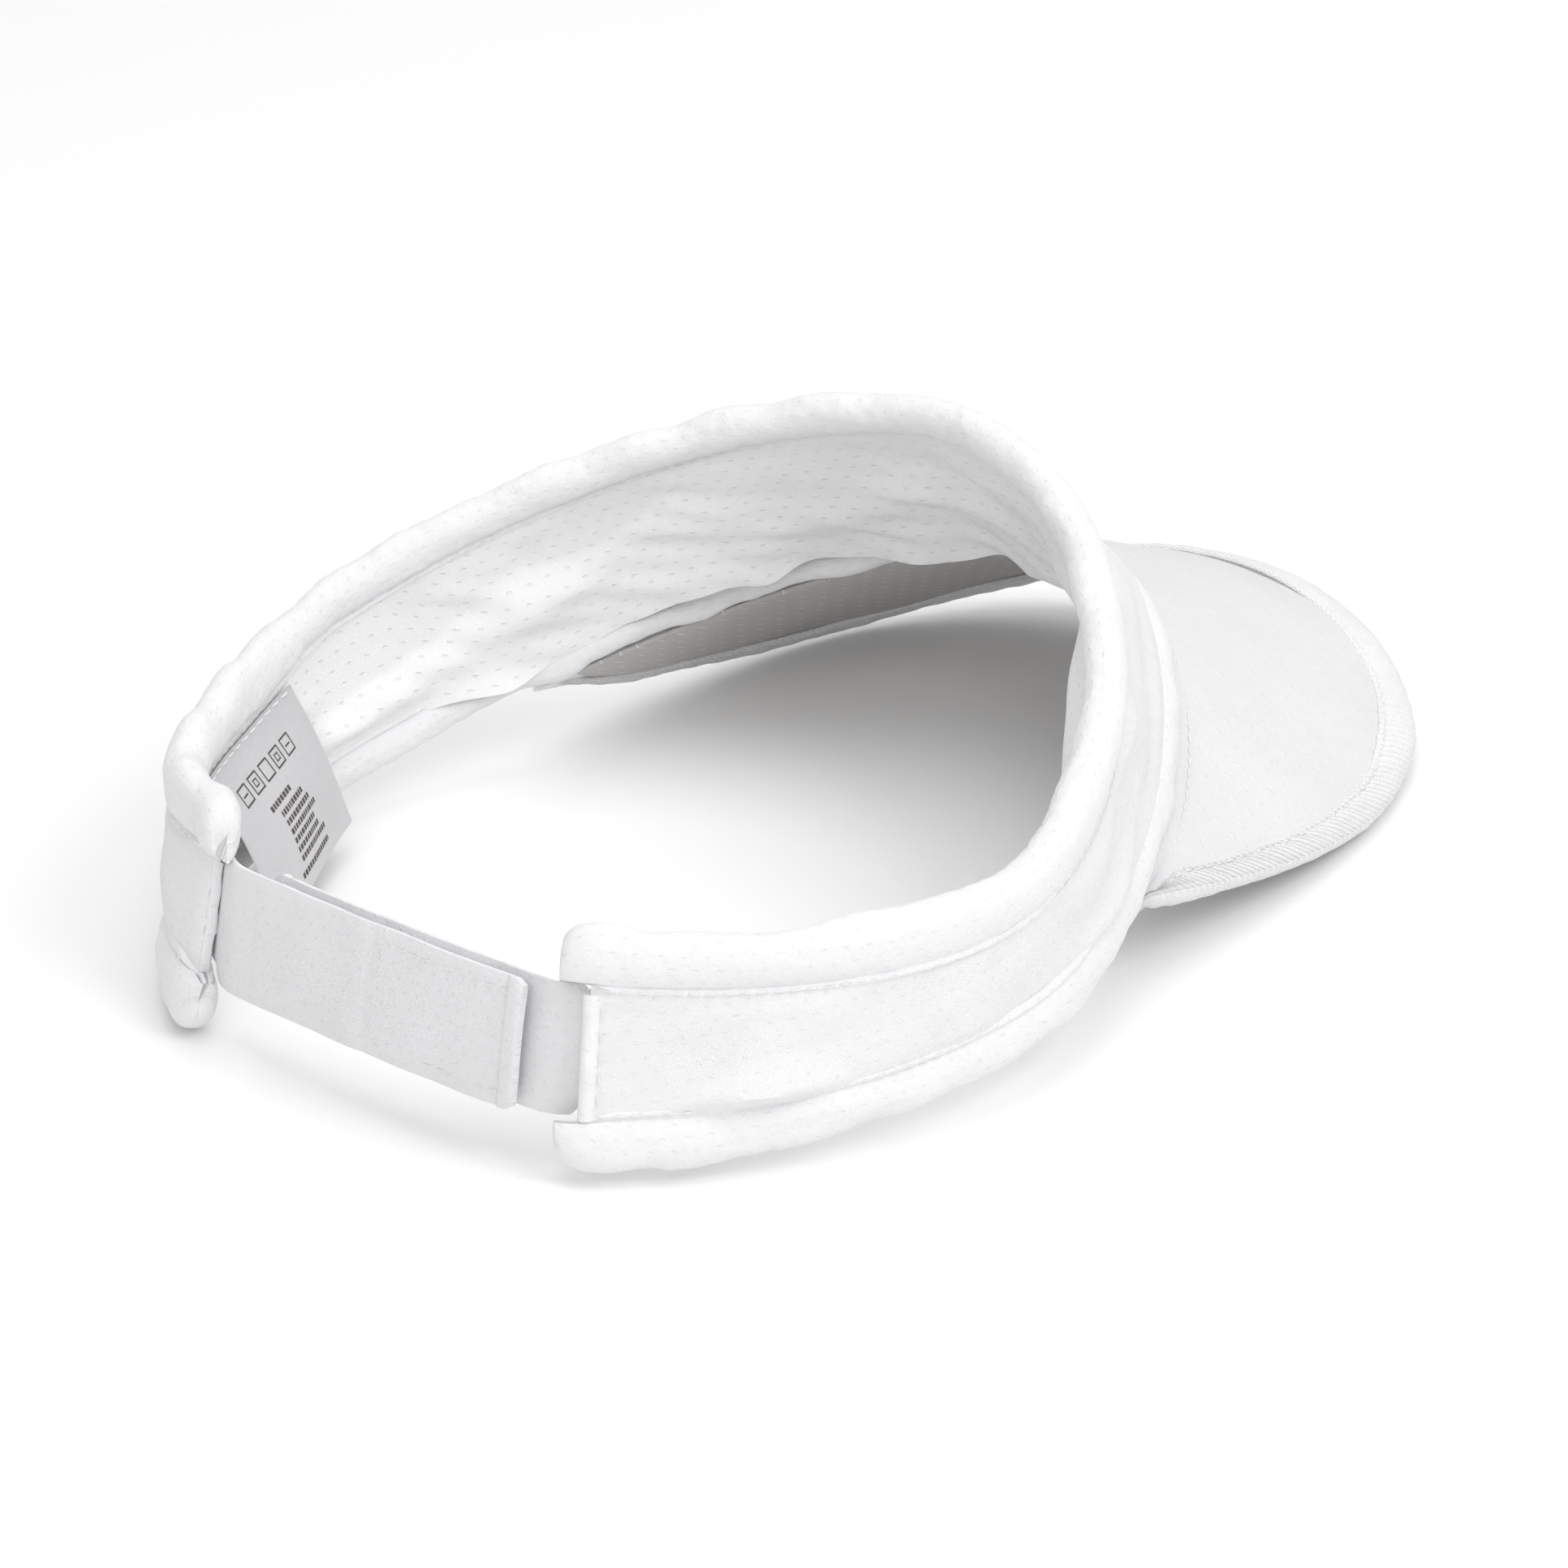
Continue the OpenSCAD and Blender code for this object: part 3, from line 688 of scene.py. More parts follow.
def roll(name, line, sign, seed, nodes):
    """A padded tube along the band's top (sign 1) or bottom (sign -1) edge."""
    end = 5.0 if sign > 0 else 6.2
    dense = np.linspace(-ROLL_END, ROLL_END, 2400)
    run = lengths(line(dense))
    total = run[-1]
    inner_steps = np.linspace(end, total - end, int(total / 1.1))
    corner = end * (1 - np.cos(np.linspace(0, math.pi / 2, 12)[:-1]))
    along = np.concatenate([corner, inner_steps, total - corner[::-1]])
    t = np.interp(along, run, dense)
    profile = roll_profile()
    a = along[:, None]
    edge = np.minimum(a, total - a)
    rounding = np.sqrt(1 - (1 - np.clip(edge / end, 0, 1)) ** 2)
    lip_x = profile[None, :, 0]
    if sign < 0:
        # in front the brim's seam covers the lips, and they lie flat
        flat = window(t, -76, -66, 66, 76)[:, None]
        lip_x = np.where(profile[None, :, 1] < -4.94, mix(lip_x, 0.7 * np.sign(lip_x), flat),
                         lip_x)
    # at the left end the outer lip follows the panel's face inwards
    lip_x = np.where((profile[None, :, 1] < -4.94) & (lip_x > 0),
                     lip_x - 1.9 * turned_in(t)[:, None], lip_x)
    past = ease(np.abs(t), PANEL_END - 3.5, PANEL_END + 0.5)[:, None]
    lip_y = np.where(profile[None, :, 1] < -4.94, mix(profile[None, :, 1], -4.9, past),
                     profile[None, :, 1])
    x, y = roll_section(t[:, None], sign, lip_x, lip_y)
    x = x * (0.5 + 0.5 * rounding)
    seam = roll_section(t[:, None], sign, np.sign(lip_x) * 2, -4.9)[1]
    y = np.where(y > seam, seam + (y - seam) * ((0.5 if sign > 0 else 0.36) * (1 - rounding)
                                                + rounding), y)
    # lumps of the padding, and small puckers that die away from the seam
    calm = ease(edge, 2, 14)
    body = ease(profile[:, 1], -4.9, 1.5)[None, :]
    round_way = np.arctan2(profile[:, 0], profile[:, 1])[None, :]
    lumps = (0.2 * ripple(a, round_way * 9, 30, seed) + 0.15 * ripple(a, round_way * 5, 12,
                                                                     seed + 1))
    fine = 0.05 * ripple(a, round_way * 4, 4.5, seed + 5)
    pucker = 0.16 * ripple(a, round_way * 0.5, 4.6, seed + 2) * (1 - body)
    grow = 1 + calm * (lumps * body + fine * body
                       + pucker * (profile[None, :, 1] > -4.95)) / 4.5
    sag = 0.2 * calm * ripple(a, 0, 60, seed + 3)
    x, y = x * grow, seam + (y - seam) * np.where(y > seam, grow, 1)
    frames = (line(t)[:, None], out(t)[:, None], up(t)[:, None] * sign)
    rings = frames[0] + frames[1] * (x + sag)[..., None] + frames[2] * y[..., None]
    around = lengths(profile)
    uv = paired(a, around[None, :])
    obj = tube(name, rings, uv, binding_jersey)
    held = (profile[None, :, 1] < -4.0) | (edge < 1.5)
    settle(obj, held.ravel(), 0.8)
    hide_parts(*nodes)


roll("top_binding_roll", top_line, 1, 11, ("top_binding", "top_binding_padding"))
roll("bottom_binding_roll", bottom_line, -1, 23,
     ("bottom_binding", "bottom_binding_padding"))


# ---- the panel's layers ----
BAND_T = np.linspace(-PANEL_END, PANEL_END, 420)
BAND_V = np.linspace(0, 1, 26)
band_run = np.interp(BAND_T, np.linspace(-PANEL_END, PANEL_END, 2000),
                     lengths(middle(np.linspace(-PANEL_END, PANEL_END, 2000))))


def band_height(t):
    return np.linalg.norm(top_line(t) - bottom_line(t), axis=-1) - 2 * PANEL_TUCK


def band_grid(t, v, n, low_tuck=PANEL_TUCK, high_tuck=PANEL_TUCK):
    """Points at share v of the panel's height and depth n, over arrays that broadcast."""
    t, v, n = alike(t, v, n)
    low = bottom_line(t) + up(t) * (low_tuck + 0 * t)[..., None]
    high = top_line(t) - up(t) * (high_tuck + 0 * t)[..., None]
    return mix(low, high, v[..., None]) + out(t) * n[..., None]


def inner_tuck(t, sign):
    """How far below its line a roll's inner lip has its seam, in mm."""
    return -roll_section(t, sign, -2.0 + 0 * t, -6.0 + 0 * t)[1] - 1.1


def away_from_seams(v, margin=0.16):
    return ease(v, 0.05, 0.05 + margin) * ease(1 - v, 0.05, 0.05 + margin)


def outer_wrinkles(t, v):
    """Shallow slanting wrinkles of the outer cloth, in mm."""
    run = np.interp(t, BAND_T, band_run)
    tall = v * band_height(t)
    slant = tall - run * 0.22
    drags = 0.42 * ripple(slant, run * 0.12, 15, 5) + 0.14 * ripple(slant, run * 0.2, 7, 6)
    soft = 0.5 * ripple(run, tall, 34, 7)
    pull = 0.9 * hump(slant, -5, 5) * hump(run, 60, 26)
    front = 0.7 * window(t, -76, -60, 60, 76) * (1 - v) ** 2
    flush = 0.9 * window(t, 104, 124, 136, 146) * away_from_seams(v, 0.1)
    depth = mix(2.0, 1.1, ease(t, -104, -84)) * (1 - 0.7 * ease(t, 110, 134))
    wrinkles = np.maximum(depth * (drags + soft), -0.9)
    return (wrinkles + pull + 0.7) * away_from_seams(v) + front + flush


def outer_panel():
    t, v = BAND_T[:, None], BAND_V[None, :]
    depth = mix(HALF_PANEL + outer_wrinkles(t, v), -0.4, turned_in(t))
    # in front, where the bottom roll's lips lie flat, the cloth runs down into the roll
    tuck = PANEL_TUCK - 2.2 * window(t, -84, -76, 76, 84)
    face = band_grid(t, v, depth, tuck)
    back = band_grid(t, v, np.minimum(HALF_PANEL - CLOTH, depth - 0.45), tuck)
    uv = paired(band_run[:, None], v * band_height(t))
    obj = shell("crown_outer_cloth", face, back, uv, panel_jersey)
    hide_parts("crown_outer_panel")


def foam_core():
    inside = np.flatnonzero(BAND_T < FOAM_END)[::4]
    t, v = BAND_T[inside, None], BAND_V[None, ::3]
    low, high = -HALF_PANEL + CLOTH + 0.1, HALF_PANEL - CLOTH - 0.1
    uv = paired(band_run[inside, None], v * 20)
    obj = shell("crown_foam", band_grid(t, v, high), band_grid(t, v, low), uv, foam)
    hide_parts("crown_interlining")


FLAP_FULL, FLAP_NONE = 66, 77


def flap_depth(t):
    """How far inside the bottom line the free edge hangs, in mm."""
    return ROLL_RX + 1.0 + 3.6 * hump(t, -4, 15) + 3.0 * hump(t, -28, 15)


def flap_edge(t):
    """Height of the lining's free front edge above the bottom line, in mm."""
    return -1 + 6.2 * hump(t, 39, 13) - 1.5 * hump(t, 37.6, 2.6) + 0.8 * hump(t, 31, 3)


def lining_wrinkles(t, v):
    run = np.interp(t, BAND_T, band_run)
    tall = v * band_height(t)
    slant = tall - run * 0.3
    drags = 0.8 * ripple(slant, run * 0.14, 17, 15) + 0.28 * ripple(slant, run * 0.25, 7, 16)
    soft = 0.9 * ripple(run, tall, 38, 17)
    ridge = 2.0 * hump(v - 0.12 - 0.5 * (95 - t) / 55, 0, 0.15) * window(t, 38, 55, 88, 102)
    hollow = 1.6 * hump(v - 0.52 - 0.3 * (80 - t) / 50, 0, 0.14) * window(t, 28, 45, 80, 96)
    swag = 1.2 * hump(v - 0.2 - 0.5 * (40 - t) / 40, 0, 0.12) * window(t, 2, 14, 30, 42)
    return drags + soft + ridge - hollow + swag


def lining():
    """The inner cloth: sewn down at the sides, with a free wavy edge in front."""
    t, v = BAND_T[:, None], np.linspace(0, 1, 34)[None, :]
    free = 1 - ease(np.abs(t), FLAP_FULL, FLAP_NONE)
    low_tuck, high_tuck = inner_tuck(t, -1), inner_tuck(t, 1)
    sewn = band_grid(t, v, -HALF_PANEL, low_tuck, high_tuck)
    hang_low = off(bottom_line, BAND_T, -flap_depth(BAND_T), flap_edge(BAND_T))
    high = band_grid(BAND_T, 1.0, -HALF_PANEL, low_tuck[:, 0], high_tuck[:, 0])
    # the hanging cloth bows from the top seam over the bottom roll
    bend = 1 - (1 - v) ** 2.2
    hanging = (mix(hang_low[:, None], high[:, None], v[..., None])
               + out(BAND_T)[:, None] * (0.9 * np.sin(math.pi * v) * (1 - bend * 0.4))[..., None])
    inward = -out(BAND_T)[:, None]
    loose = 5.5 * window(t, -98, -76, -50, -28) * np.sin(math.pi * v ** 1.6)
    lift = up(BAND_T)[:, None] * (3.2 * free * (1 - free) * (1 - v) ** 2)[..., None]
    centre = mix(sewn, hanging, free[..., None]) + lift + inward * loose[..., None]
    held = away_from_seams(v, 0.2) * (1 - free) + free * ease(1 - v, 0.03, 0.3)
    folds = lining_wrinkles(t, v) * held
    edge_flutter = free * (1 - v) ** 3 * 0.8 * ripple(band_run[:, None], 0 * v, 24, 19)
    folds = np.maximum(folds + 0.5 * held + edge_flutter, -0.15 - 0.9 * free * held)
    face = centre + inward * folds[..., None]
    back = face - inward * mix(CLOTH, 0.7, free)[..., None]
    uv = paired(band_run[:, None], v * (band_height(t) + 8 * free))
    obj = shell("crown_lining_cloth", face, back, uv, lining_mesh)
    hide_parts("crown_lining")


foam_core()
outer_panel()
lining()


# ---- the rear ends: a turned hem over each end of the panel ----
def end_hem(side, name):
    """A folded strip, swept down the panel's end from roll to roll."""
    a = PANEL_END * side
    profile = np.array([(-1.7, 1.2), (-1.5, 1.8), (-1.0, 2.2), (-0.4, 2.45), (0.2, 2.5),
                        (0.8, 2.25), (1.15, 1.7), (1.25, 0.9), (1.2, -0.2), (1.15, -1.2),
                        (0.95, -1.9), (0.4, -2.25), (-0.4, -2.25), (-1.1, -2.0),
                        (-1.4, -1.4), (-1.5, -0.2)])
    heights = np.linspace(-10.4, 10.4, 40)
    if side > 0:
        # the left end's fold lies flat against its strap
        profile = (profile - [0, 0.1]) * [0.62, 0.4] + [0.05, -1.15]
    ahead = onward(a) * side
    points = (middle(a) + np.zeros((40, 1, 3)) + ahead * profile[None, :, :1]
              + out(a) * profile[None, :, 1:] + up(a) * heights[:, None, None])
    waver = 0.12 * ripple(heights, 0 * heights, 7, 31 + side)
    points = points + out(a) * waver[:, None, None]
    uv = paired(lengths(profile)[None, :], heights[:, None])
    obj = tube(f"{name}_end_fold", points, uv, binding_jersey)
    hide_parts(f"{name}_end_hem")
    row = np.linspace(-8.8, 8.8, 60)[:, None]
    path = (middle(a) + ahead * (-2.0 if side < 0 else 0.1)
            + out(a) * (1.72 if side < 0 else -0.22) + up(a) * row)
    sewn = stitches(f"{name}_end_stitches", [(path, out(a) + 0 * path)], thread_finish,
                    width=0.3, height=0.2)
    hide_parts(f"{name}_end_stitching")


end_hem(1, "left")
end_hem(-1, "right")


def band_stitches(name, line, sign, node):
    t = np.linspace(-PANEL_END + 1, PANEL_END - 1, 900)
    rows = []
    for side in (-1, 1):
        reach, row = roll_section(t, sign, side * 2.16 + 0 * t, -THREAD_ROW + 0 * t)
        if sign < 0:
            reach = reach - side * 1.3 * window(t, -74, -66, 66, 74)
        rows.append((off(line, t, reach, sign * row), side * out(t)))
    obj = stitches(name, rows, thread_finish, length=2.0, width=0.32, height=0.22)
    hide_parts(node)


band_stitches("top_binding_stitches", top_line, 1, "top_binding_stitching")
band_stitches("bottom_binding_stitches", bottom_line, -1, "bottom_binding_stitching")


# ---- the brim ----
def even_brim(last, count):
    dense = np.linspace(-last, last, 3000)
    run = lengths(brim_edge(dense))
    return np.interp(np.linspace(0, run[-1], count), run, dense)


BRIM_LAST = 0.975
BRIM_S = even_brim(BRIM_LAST, 230)


def corner_taper(s):
    """1 over most of the brim, less where its corners run out into the bottom roll."""
    return 0.25 + 0.75 * ease(1 - np.abs(s), 0.02, 0.24)


def arch_length(x):
    """Length over the arch from its middle to x."""
    steps = np.linspace(-BRIM_HALF, BRIM_HALF, 400)
    run = lengths(np.stack([steps, 0 * steps, BRIM_ARCH * (steps / BRIM_HALF) ** 2], -1))
    return np.interp(x, steps, run - run[-1] / 2)


def brim_uv(points):
    """(forwards, to the left) over the brim's surface, in mm."""
    return np.stack([-points[..., 1] * math.hypot(1, BRIM_SLOPE),
                     arch_length(points[..., 0])], -1)


def brim_cover(name, side, material, node, seed):
    s = BRIM_S[:, None]
    lead = np.minimum(1.6 / brim_depth(s), 0.4)
    v = mix(-lead, 1, np.linspace(0, 1, 60)[None, :])
    flat = brim_point(s, v, 0)
    uv = brim_uv(flat)
    swell = 0.22 * ripple(uv[..., 0], uv[..., 1], 45, seed)
    swell = swell * ease(v, 0, 0.12) * ease(1 - v, 0.02, 0.12)
    thin = corner_taper(s)
    face = brim_point(s, v, side * (COVER_HIGH + swell) * thin)
    back = brim_point(s, v, (side * COVER_LOW + 0 * v) * thin)
    obj = shell(name, face, back, uv, material)
    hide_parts(node)


brim_cover("brim_top_cloth", 1, brim_mesh, "brim_top_cover", 41)
brim_cover("brim_under_cloth", -1, brim_under_mesh, "brim_under_cover",
           43)


def brim_border():
    """The strip that wraps the brim's edge, from its upper to its lower turned edge."""
    s = BRIM_S
    wide = border_here(s)
    depth = brim_depth(s)
    # (distance in from the edge as a share of the width, height above the middle)
    top = [(1.0, 1.5), (1.0, 1.95), (0.96, 2.3), (0.9, 2.42), (0.86, 2.25), (0.8, 2.05),
           (0.74, 2.2), (0.66, 2.45), (0.5, 2.55), (0.3, 2.5), (0.12, 2.42)]
    rings = []
    thin = corner_taper(s)
    for share, high in top:
        rings.append(brim_point(s, 1 - share * wide / depth, high * thin))
    tip, ray, rise = brim_point(s, 1, 0), brim_ray(s), brim_up(s, np.ones_like(s))
    for a in np.radians([62, 40, 18, 0, -18, -40, -62]):
        rings.append(tip + ray * (BRIM_RIM * (0.1 + 0.9 * math.cos(a)) * thin)[:, None]
                     + rise * (2.4 * math.sin(a) * thin)[:, None])
    for share, high in reversed(top):
        rings.append(brim_point(s, 1 - share * wide / depth, -high * thin))
    rings = np.stack(rings, 1)
    run = lengths(brim_edge(s))
    around = lengths(rings[100])
    puckers = (0.1 * ripple(run[:, None], around[None, :] * 0.3, 6, 51)
               + 0.15 * ripple(run[:, None], around[None, :], 26, 52))
    centre = brim_point(s, 1 - 0.5 * wide / depth, 0)[:, None]
    rings = rings + unit(rings - centre) * (puckers * 0.8)[..., None]
    uv = paired(run[:, None], around[None, :])
    obj = tube("brim_border_binding", rings, uv, border_mesh)
    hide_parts("brim_edge_binding")
    rows = []
    for side in (-1, 1):
        q = even_brim(0.8, 900)
        path = brim_point(q, 1 - 0.82 * border_here(q) / brim_depth(q),
                          side * 2.08 * corner_taper(q))
        rows.append((path, side * brim_up(q, np.full_like(q, 0.9))))
    sewn = stitches("brim_edge_stitches", rows, thread_finish)
    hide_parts("brim_edge_stitching")


brim_border()


def brim_seam_stitches():
    q = np.linspace(-0.62, 0.62, 700)
    path = brim_point(q, 2.5 / brim_depth(q), COVER_HIGH + 0.02)
    obj = stitches("brim_seam_stitches", [(path, brim_up(q, 0 * q))], thread_finish,
                   width=0.36, height=0.26)
    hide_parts("brim_seam_stitching")


brim_seam_stitches()
frame["nodes"]["brim_board"].data.materials.clear()
frame["nodes"]["brim_board"].data.materials.append(board_plastic)


# ---- the straps ----
def strap(side, tip):
    """One strap from under the band's end, past its hinge, to its free tip.

    d is the distance from the strap's own hinge; the sewn part has d below 0."""
    sewn = np.linspace(-SEWN_LENGTH * 1.35, -1.5, 14)
    free = np.linspace(1.2, tip, 90)
    speed = np.linalg.norm(middle(HINGE_ANGLE) - middle(HINGE_ANGLE - 1))
    a = HINGE_ANGLE + sewn / speed
    sewn_mid = middle(side * a) - out(side * a) * STRAP_DEPTH
    if side > 0:
        free_mid = on_strap(free, 0, STRAP_MID)
    else:
        free_mid = on_strap(strap_span - free, 0, -STRAP_MID + 0.2)
    centre = np.concatenate([sewn_mid, free_mid])
    d = np.concatenate([sewn, free])
    fine = np.concatenate([np.linspace(d[0], 6, 70), np.linspace(6, tip, 110)[1:]])
    centre = np.stack([np.interp(fine, d, centre[:, k]) for k in range(3)], -1)
    kernel = np.array([1, 4, 6, 4, 1]) / 16
    for _ in range(10):
        inner = sum(w * centre[i:len(centre) - 4 + i] for i, w in enumerate(kernel))
        centre = np.concatenate([centre[:2], inner, centre[-2:]])
    tangent = unit(np.gradient(centre, axis=0))
    rise = strap_up + 0 * tangent
    outward = unit(np.cross(tangent * (1 if side > 0 else -1), rise))
    outward = outward * np.sign((outward * strap_out).sum(-1, keepdims=True))
    half = mix(SEWN_HALF, STRAP_HALF, ease(fine, -6.5, -4))
    return fine, centre, rise, outward, half


def strap_piece(name, side, tip, nodes, seed):
    fine, centre, rise, outward, half = strap(side, tip)
    across = np.linspace(-1, 1, 23)
    corner = ease(tip - fine, 0, 1.6)
    wide = (half * mix(0.93, 1, corner))[:, None]
    waver = 0.25 * ripple(fine[:, None], across[None, :] * 9, 16, seed)
    bow = 0.35 * ease(fine, 6, 30)[:, None] * (across[None, :] ** 2) * -1
    lift = waver * ease(np.abs(fine), 4, 14)[:, None] * 0.6 + bow
    hem = 0.42 * (ease(fine, tip - 3.4, tip - 2.9) * ease(tip - fine, -0.3, 0.5))[:, None]
    groove = -0.3 * hump(fine, tip - 3.6, 0.35)[:, None]
    patch_edge = -0.22 * hump(fine, strap_span / 2 - 1, 1.3)[:, None] * (side > 0)
    shape = centre[:, None] + rise[:, None] * (wide * across[None, :])[..., None]
    thin = (0.55 + 0.45 * np.sqrt(np.clip(1 - np.abs(across) ** 10, 0, 1)))[None, :]
    face_sign = 1 if side > 0 else -1
    raised = STRAP_THICK / 2 * thin + (hem + groove + patch_edge)
    face = shape + outward[:, None] * (lift + face_sign * raised)[..., None]
    back = shape + outward[:, None] * (lift - face_sign * STRAP_THICK / 2 * thin)[..., None]
    uv = paired(fine[:, None], across[None, :] * STRAP_HALF)
    obj = shell(name, face, back, uv, strap_cloth, body=None)
    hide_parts(*nodes)
    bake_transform(obj)


strap_piece("outer_strap_webbing", 1, OUTER_TIP, ("outer_strap_sewn_end", "outer_strap"),
            61)
strap_piece("inner_strap_webbing", -1, strap_span - INNER_TIP_GAP,
            ("inner_strap_sewn_end", "inner_strap"), 67)


def patch(name, start, end, low, high, material, body, node, seed):
    """A hook or loop tape; its mating face is covered with fine bristles or nap."""
    d, h = np.linspace(start, end, 150)[:, None], np.linspace(-9.5, 9.5, 84)[None, :]
    draw = np.random.default_rng(seed)
    nap = draw.uniform(0, 1, (150, 84)) ** 2
    nap[[0, -1], :] = 0
    nap[:, [0, -1]] = 0
    inner = low + 0 * d * h
    outer = high + 0 * d * h
    if body == "outer_strap":
        inner = inner + 0.35 - nap * 0.35
    else:
        outer = outer - 0.35 + nap * 0.35
    uv = paired(d, h)
    obj = shell(name, on_strap(d, h, outer), on_strap(d, h, inner), uv, material, body=body)
    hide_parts(node)


patch("hook_tape_pad", PATCH_START, OUTER_TIP - 1.5, 0.15, 1.25, hook_tape,
      "outer_strap", "hook_patch", 71)
patch("loop_tape_pad", INNER_TIP_GAP + 1.5, strap_span - 6, -1.05, -0.15, loop_tape,
      "inner_strap", "loop_patch", 73)


def stitch_box(name, start, end, n, side, body, node):
    rows = []
    for h in (-8.5, 8.5):
        d = np.linspace(start, end, 200)
        rows.append((on_strap(d, h, n), side * strap_normal + np.zeros((200, 3))))
    for d in (start, end):
        h = np.linspace(-8, 8, 80)
        rows.append((on_strap(d, h, n), side * strap_normal + np.zeros((80, 3))))
    obj = stitches(name, rows, thread_finish, length=1.8, gap=0.9, width=0.26, height=0.16,
                   body=body)
    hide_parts(node)


stitch_box("outer_strap_stitches", PATCH_START + 1, OUTER_TIP - 2.5, STRAP_HIGH - 0.1, 1,
           "outer_strap", "outer_strap_stitching")
stitch_box("inner_strap_stitches", INNER_TIP_GAP + 3, strap_span - 8, -STRAP_HIGH + 0.3, -1,
           "inner_strap", "inner_strap_stitching")


# ---- the care label ----
def label_seam(a):
    return off(top_line, a, -HALF_PANEL - 1.5 + 0 * a, -LABEL_SEAM_DROP + 0 * a)


def label_end(a):
    """An end of the label's hinge line, on the band without its worn-in bulge."""
    a = np.asarray(float(a))
    return label_seam(a) - top_line(a) + loop_point(a, TOP, level(a, TOP_LEVELS), 0, 0)


label_left, label_right = (label_end(a) for a in reversed(LABEL_ANGLES))
label_run = unit(label_right - label_left)
label_centre = (label_left + label_right) / 2
label_plumb = unit(np.cross(out(sum(LABEL_ANGLES) / 2), label_run))
label_inward = unit(np.cross(label_plumb, label_run))
lean = math.radians(LABEL_LIFT)
label_fall = label_plumb * math.cos(lean) + label_inward * math.sin(lean)
label_face = unit(np.cross(label_fall, label_run))


def on_label(along, down, n):
    along, down, n = alike(along, down, n)
    curl = LABEL_CURL * np.sin(np.pi * np.clip(down, 0, None) / LABEL_LENGTH)
    curl = curl + 0.4 * np.sin(along / 6 + down / 9) * down / LABEL_LENGTH
    spread = np.where(along < 0, 1 + 0.26 * np.clip(down, 0, None) / LABEL_LENGTH, 1)
    straight = label_centre + label_run * (along * spread)[..., None]
    angle = np.interp(along, [-LABEL_HALF, LABEL_HALF], [LABEL_ANGLES[1], LABEL_ANGLES[0]])
    follow = label_seam(angle) - straight
    return (straight + follow * (1 - ease(down, -1, 17))[..., None]
            + label_fall * down[..., None] + label_face * (n + curl)[..., None])


def care_label():
    along = np.linspace(-LABEL_HALF, LABEL_HALF, 60)[:, None]
    down = np.linspace(-1.2, LABEL_LENGTH, 48)[None, :]
    uv = paired(along, down)
    obj = shell("care_label_satin", on_label(along, down, 0.3), on_label(along, down, 0),
                uv, label_satin, body="care_label")
    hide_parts("care_label")


def label_marks():
    """Plain generic marks: a row of square outlines and a few rows of short bars."""
    points, faces, uv = [], [], []

    def bar(a0, a1, d0, d1, n):
        grid_a = np.linspace(a0, a1, 8)[:, None]
        grid_d = np.linspace(d0, d1, 4)[None, :]
        first = len(points) * 32
        points.append(on_label(grid_a, grid_d, n).reshape(-1, 3))
        uv.append(paired(grid_a, grid_d).reshape(-1, 2))
        faces.extend(quads(8, 4, first=first).tolist())

    def outline(a, d, size, line, n):
        bar(a - size / 2, a + size / 2, d, d + line, n)
        bar(a - size / 2, a + size / 2, d + size - line, d + size, n)
        bar(a - size / 2, a - size / 2 + line, d, d + size, n)
        bar(a + size / 2 - line, a + size / 2, d, d + size, n)

    draw = np.random.default_rng(9)
    lines = [(-6.5, 1.5, 10.4)] + [(-4.5, 4.5 + 1.2 * (k % 3), 12.4 + 1.75 * k)
                                   for k in range(6)] + [(-6, 7, 23.6)]
    for n in (0.33, -0.03):
        for k in range(5):
            outline(-10 + 4.6 * k, 4.2, 3.4, 0.32, n)
            if k in (1, 3):
                outline(-10 + 4.6 * k, 5.2, 1.4, 0.25, n)
            elif k in (0, 4):
                bar(-10.9 + 4.6 * k, -9.1 + 4.6 * k, 5.8, 6.1, n)
        for start, end, down in lines:
            x = start
            while x < end:
                wide = draw.uniform(0.45, 0.9)
                bar(x, x + wide, down, down + 1.0, n)
                x += wide + 0.28
    obj = make("care_label_marks", np.concatenate(points), faces, np.concatenate(uv), ink,
               body="care_label")


care_label()
label_marks()
row = np.linspace(-LABEL_HALF + 1, LABEL_HALF - 1, 200)
label_rows = [(on_label(row, -0.65, 0.32), label_face + np.zeros((200, 3)))]
label_stitches = stitches("care_label_stitches", label_rows, thread_finish, width=0.5,
                          height=0.42)
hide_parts("care_label_stitching")


# ---- floor, light and camera ----
def floor():
    mesh = bpy.data.meshes.new("floor")
    half = 6
    mesh.from_pydata([(-half, -half, 0), (half, -half, 0), (half, half, 0), (-half, half, 0)],
                     [], [(0, 1, 2, 3)])
    finish = bpy.data.materials.new("floor")
    finish.use_nodes = True
    shader = finish.node_tree.nodes["Principled BSDF"]
    shader.inputs["Base Color"].default_value = (0.93, 0.93, 0.93, 1)
    shader.inputs["Roughness"].default_value = 0.9
    mesh.materials.append(finish)
    obj = bpy.data.objects.new("floor", mesh)
    bpy.context.scene.collection.objects.link(obj)
    obj.location.z = -0.0005


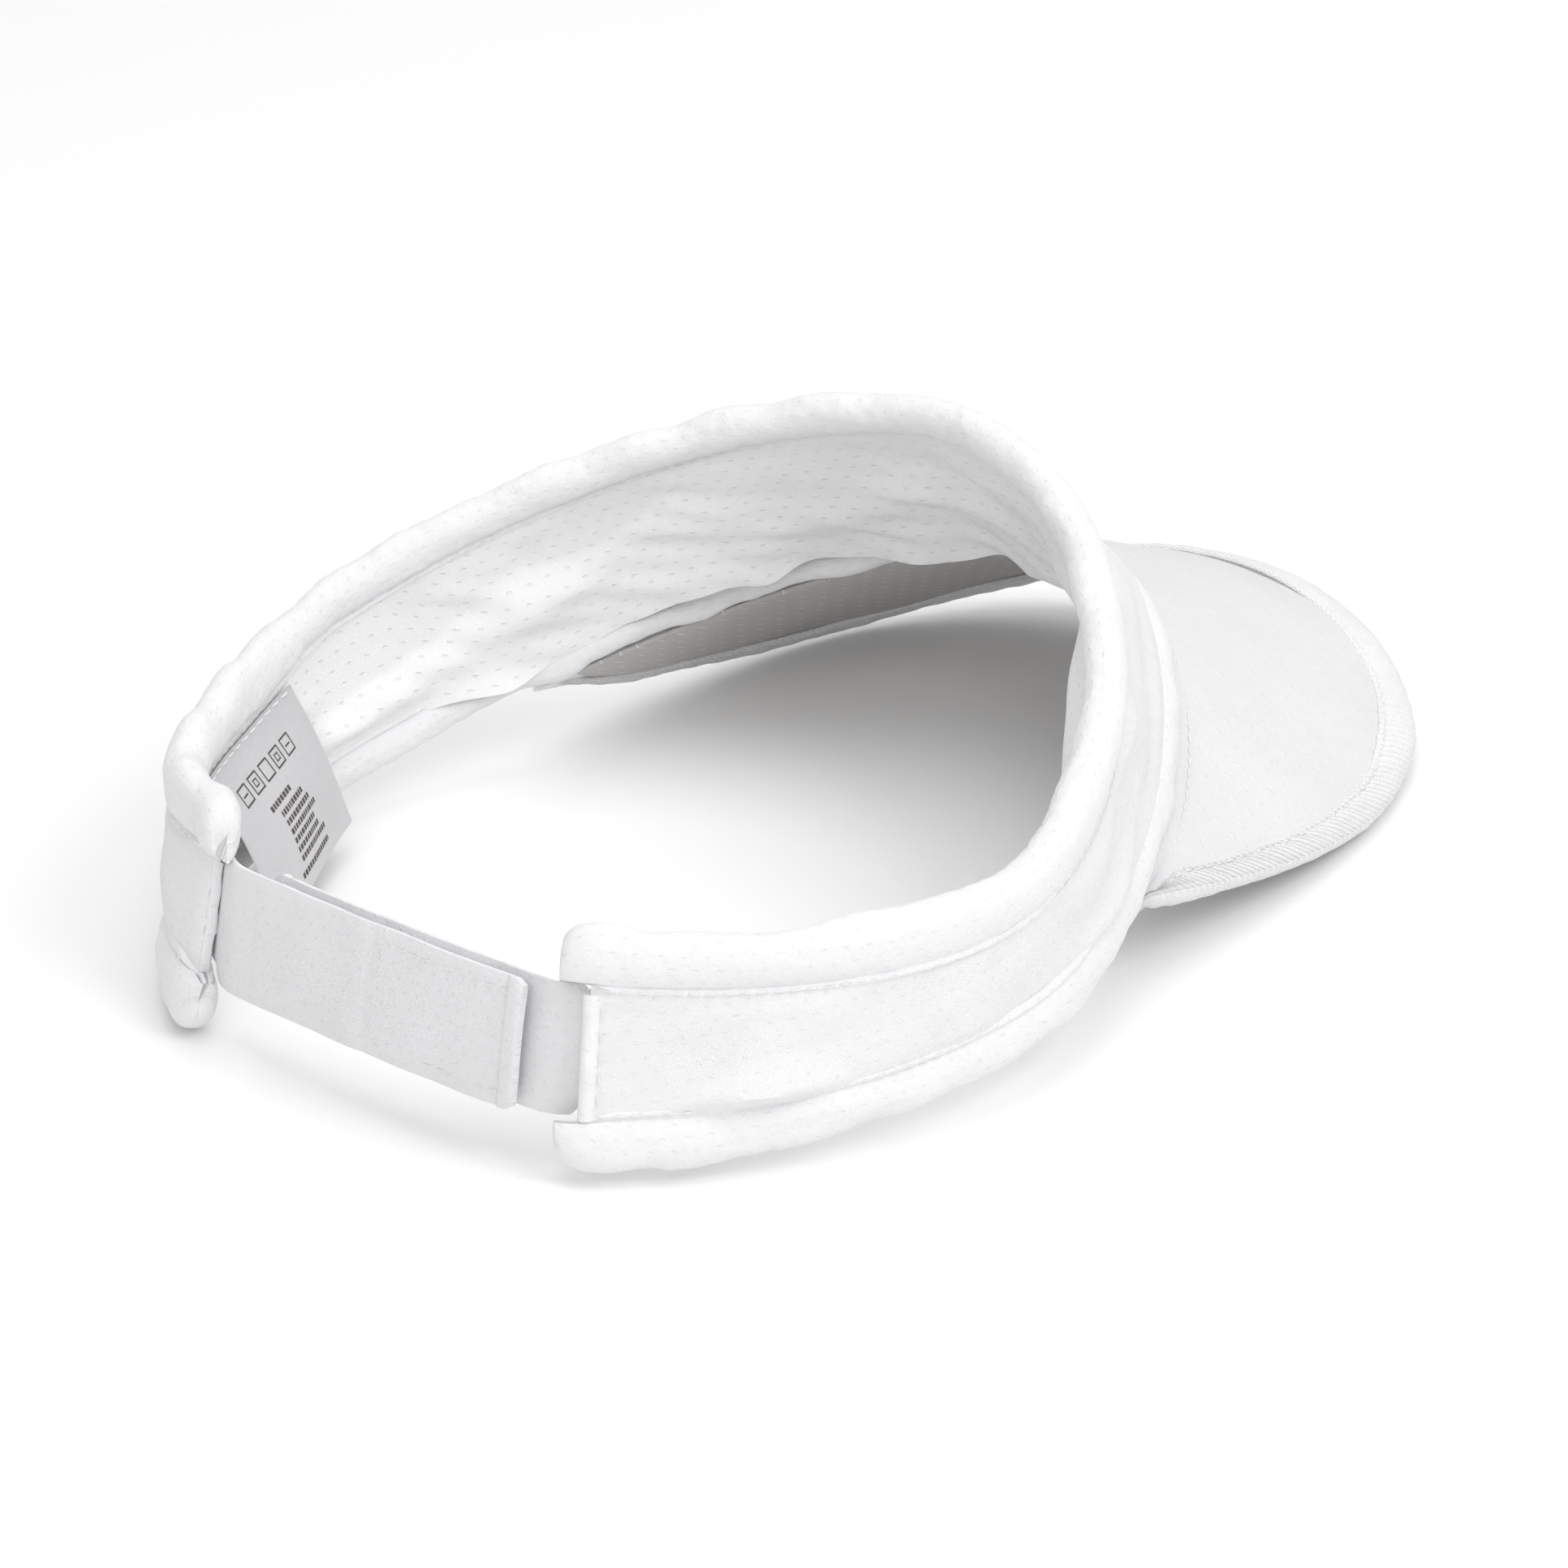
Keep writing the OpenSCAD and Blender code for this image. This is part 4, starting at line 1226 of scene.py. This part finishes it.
def area_light(name, azimuth, elevation, distance, size, power, colour=(1, 1, 1)):
    data = bpy.data.lights.new(name, "AREA")
    data.shape, data.size, data.energy, data.color = "DISK", size, power, colour
    obj = bpy.data.objects.new(name, data)
    a, e = math.radians(azimuth), math.radians(elevation)
    back = Vector((math.sin(a) * math.cos(e), -math.cos(a) * math.cos(e), math.sin(e)))
    obj.location = back * distance + Vector((0, 0, 0.03))
    obj.rotation_mode = "QUATERNION"
    obj.rotation_quaternion = (-back).to_track_quat("-Z", "Y")
    bpy.context.scene.collection.objects.link(obj)


def camera(azimuth, elevation, roll_angle, distance, aim, lens):
    data = bpy.data.cameras.new("camera")
    data.lens, data.sensor_width = lens, 36
    data.clip_start, data.clip_end = 0.01, 50
    obj = bpy.data.objects.new("camera", data)
    a, e = math.radians(azimuth), math.radians(elevation)
    back = Vector((math.sin(a) * math.cos(e), -math.cos(a) * math.cos(e), math.sin(e)))
    right = Vector((math.cos(a), math.sin(a), 0))
    lift = back.cross(right)
    c, s = math.cos(math.radians(roll_angle)), math.sin(math.radians(roll_angle))
    right, lift = right * c + lift * s, lift * c - right * s
    spot = Vector(aim) + back * distance
    obj.matrix_world = Matrix(((right.x, lift.x, back.x, spot.x),
                               (right.y, lift.y, back.y, spot.y),
                               (right.z, lift.z, back.z, spot.z), (0, 0, 0, 1)))
    bpy.context.scene.collection.objects.link(obj)
    bpy.context.scene.camera = obj


floor()
area_light("key", 275, 45, 1.6, 1.0, 9.2)
area_light("top", 230, 85, 1.5, 1.3, 7.4)
area_light("rear", 208, 32, 1.8, 1.3, 7.6)
area_light("front", 40, 45, 1.8, 1.3, 5.6)
world = bpy.data.worlds.new("studio")
world.use_nodes = True
world.node_tree.nodes["Background"].inputs["Color"].default_value = (1, 1, 1, 1)
world.node_tree.nodes["Background"].inputs["Strength"].default_value = 0.47
bpy.context.scene.world = world
bpy.context.scene.view_settings.view_transform = "Standard"
camera(219.28, 24.59, -0.44, 1.025, (-0.01955, 0.04059, 0.03402), 139.7)
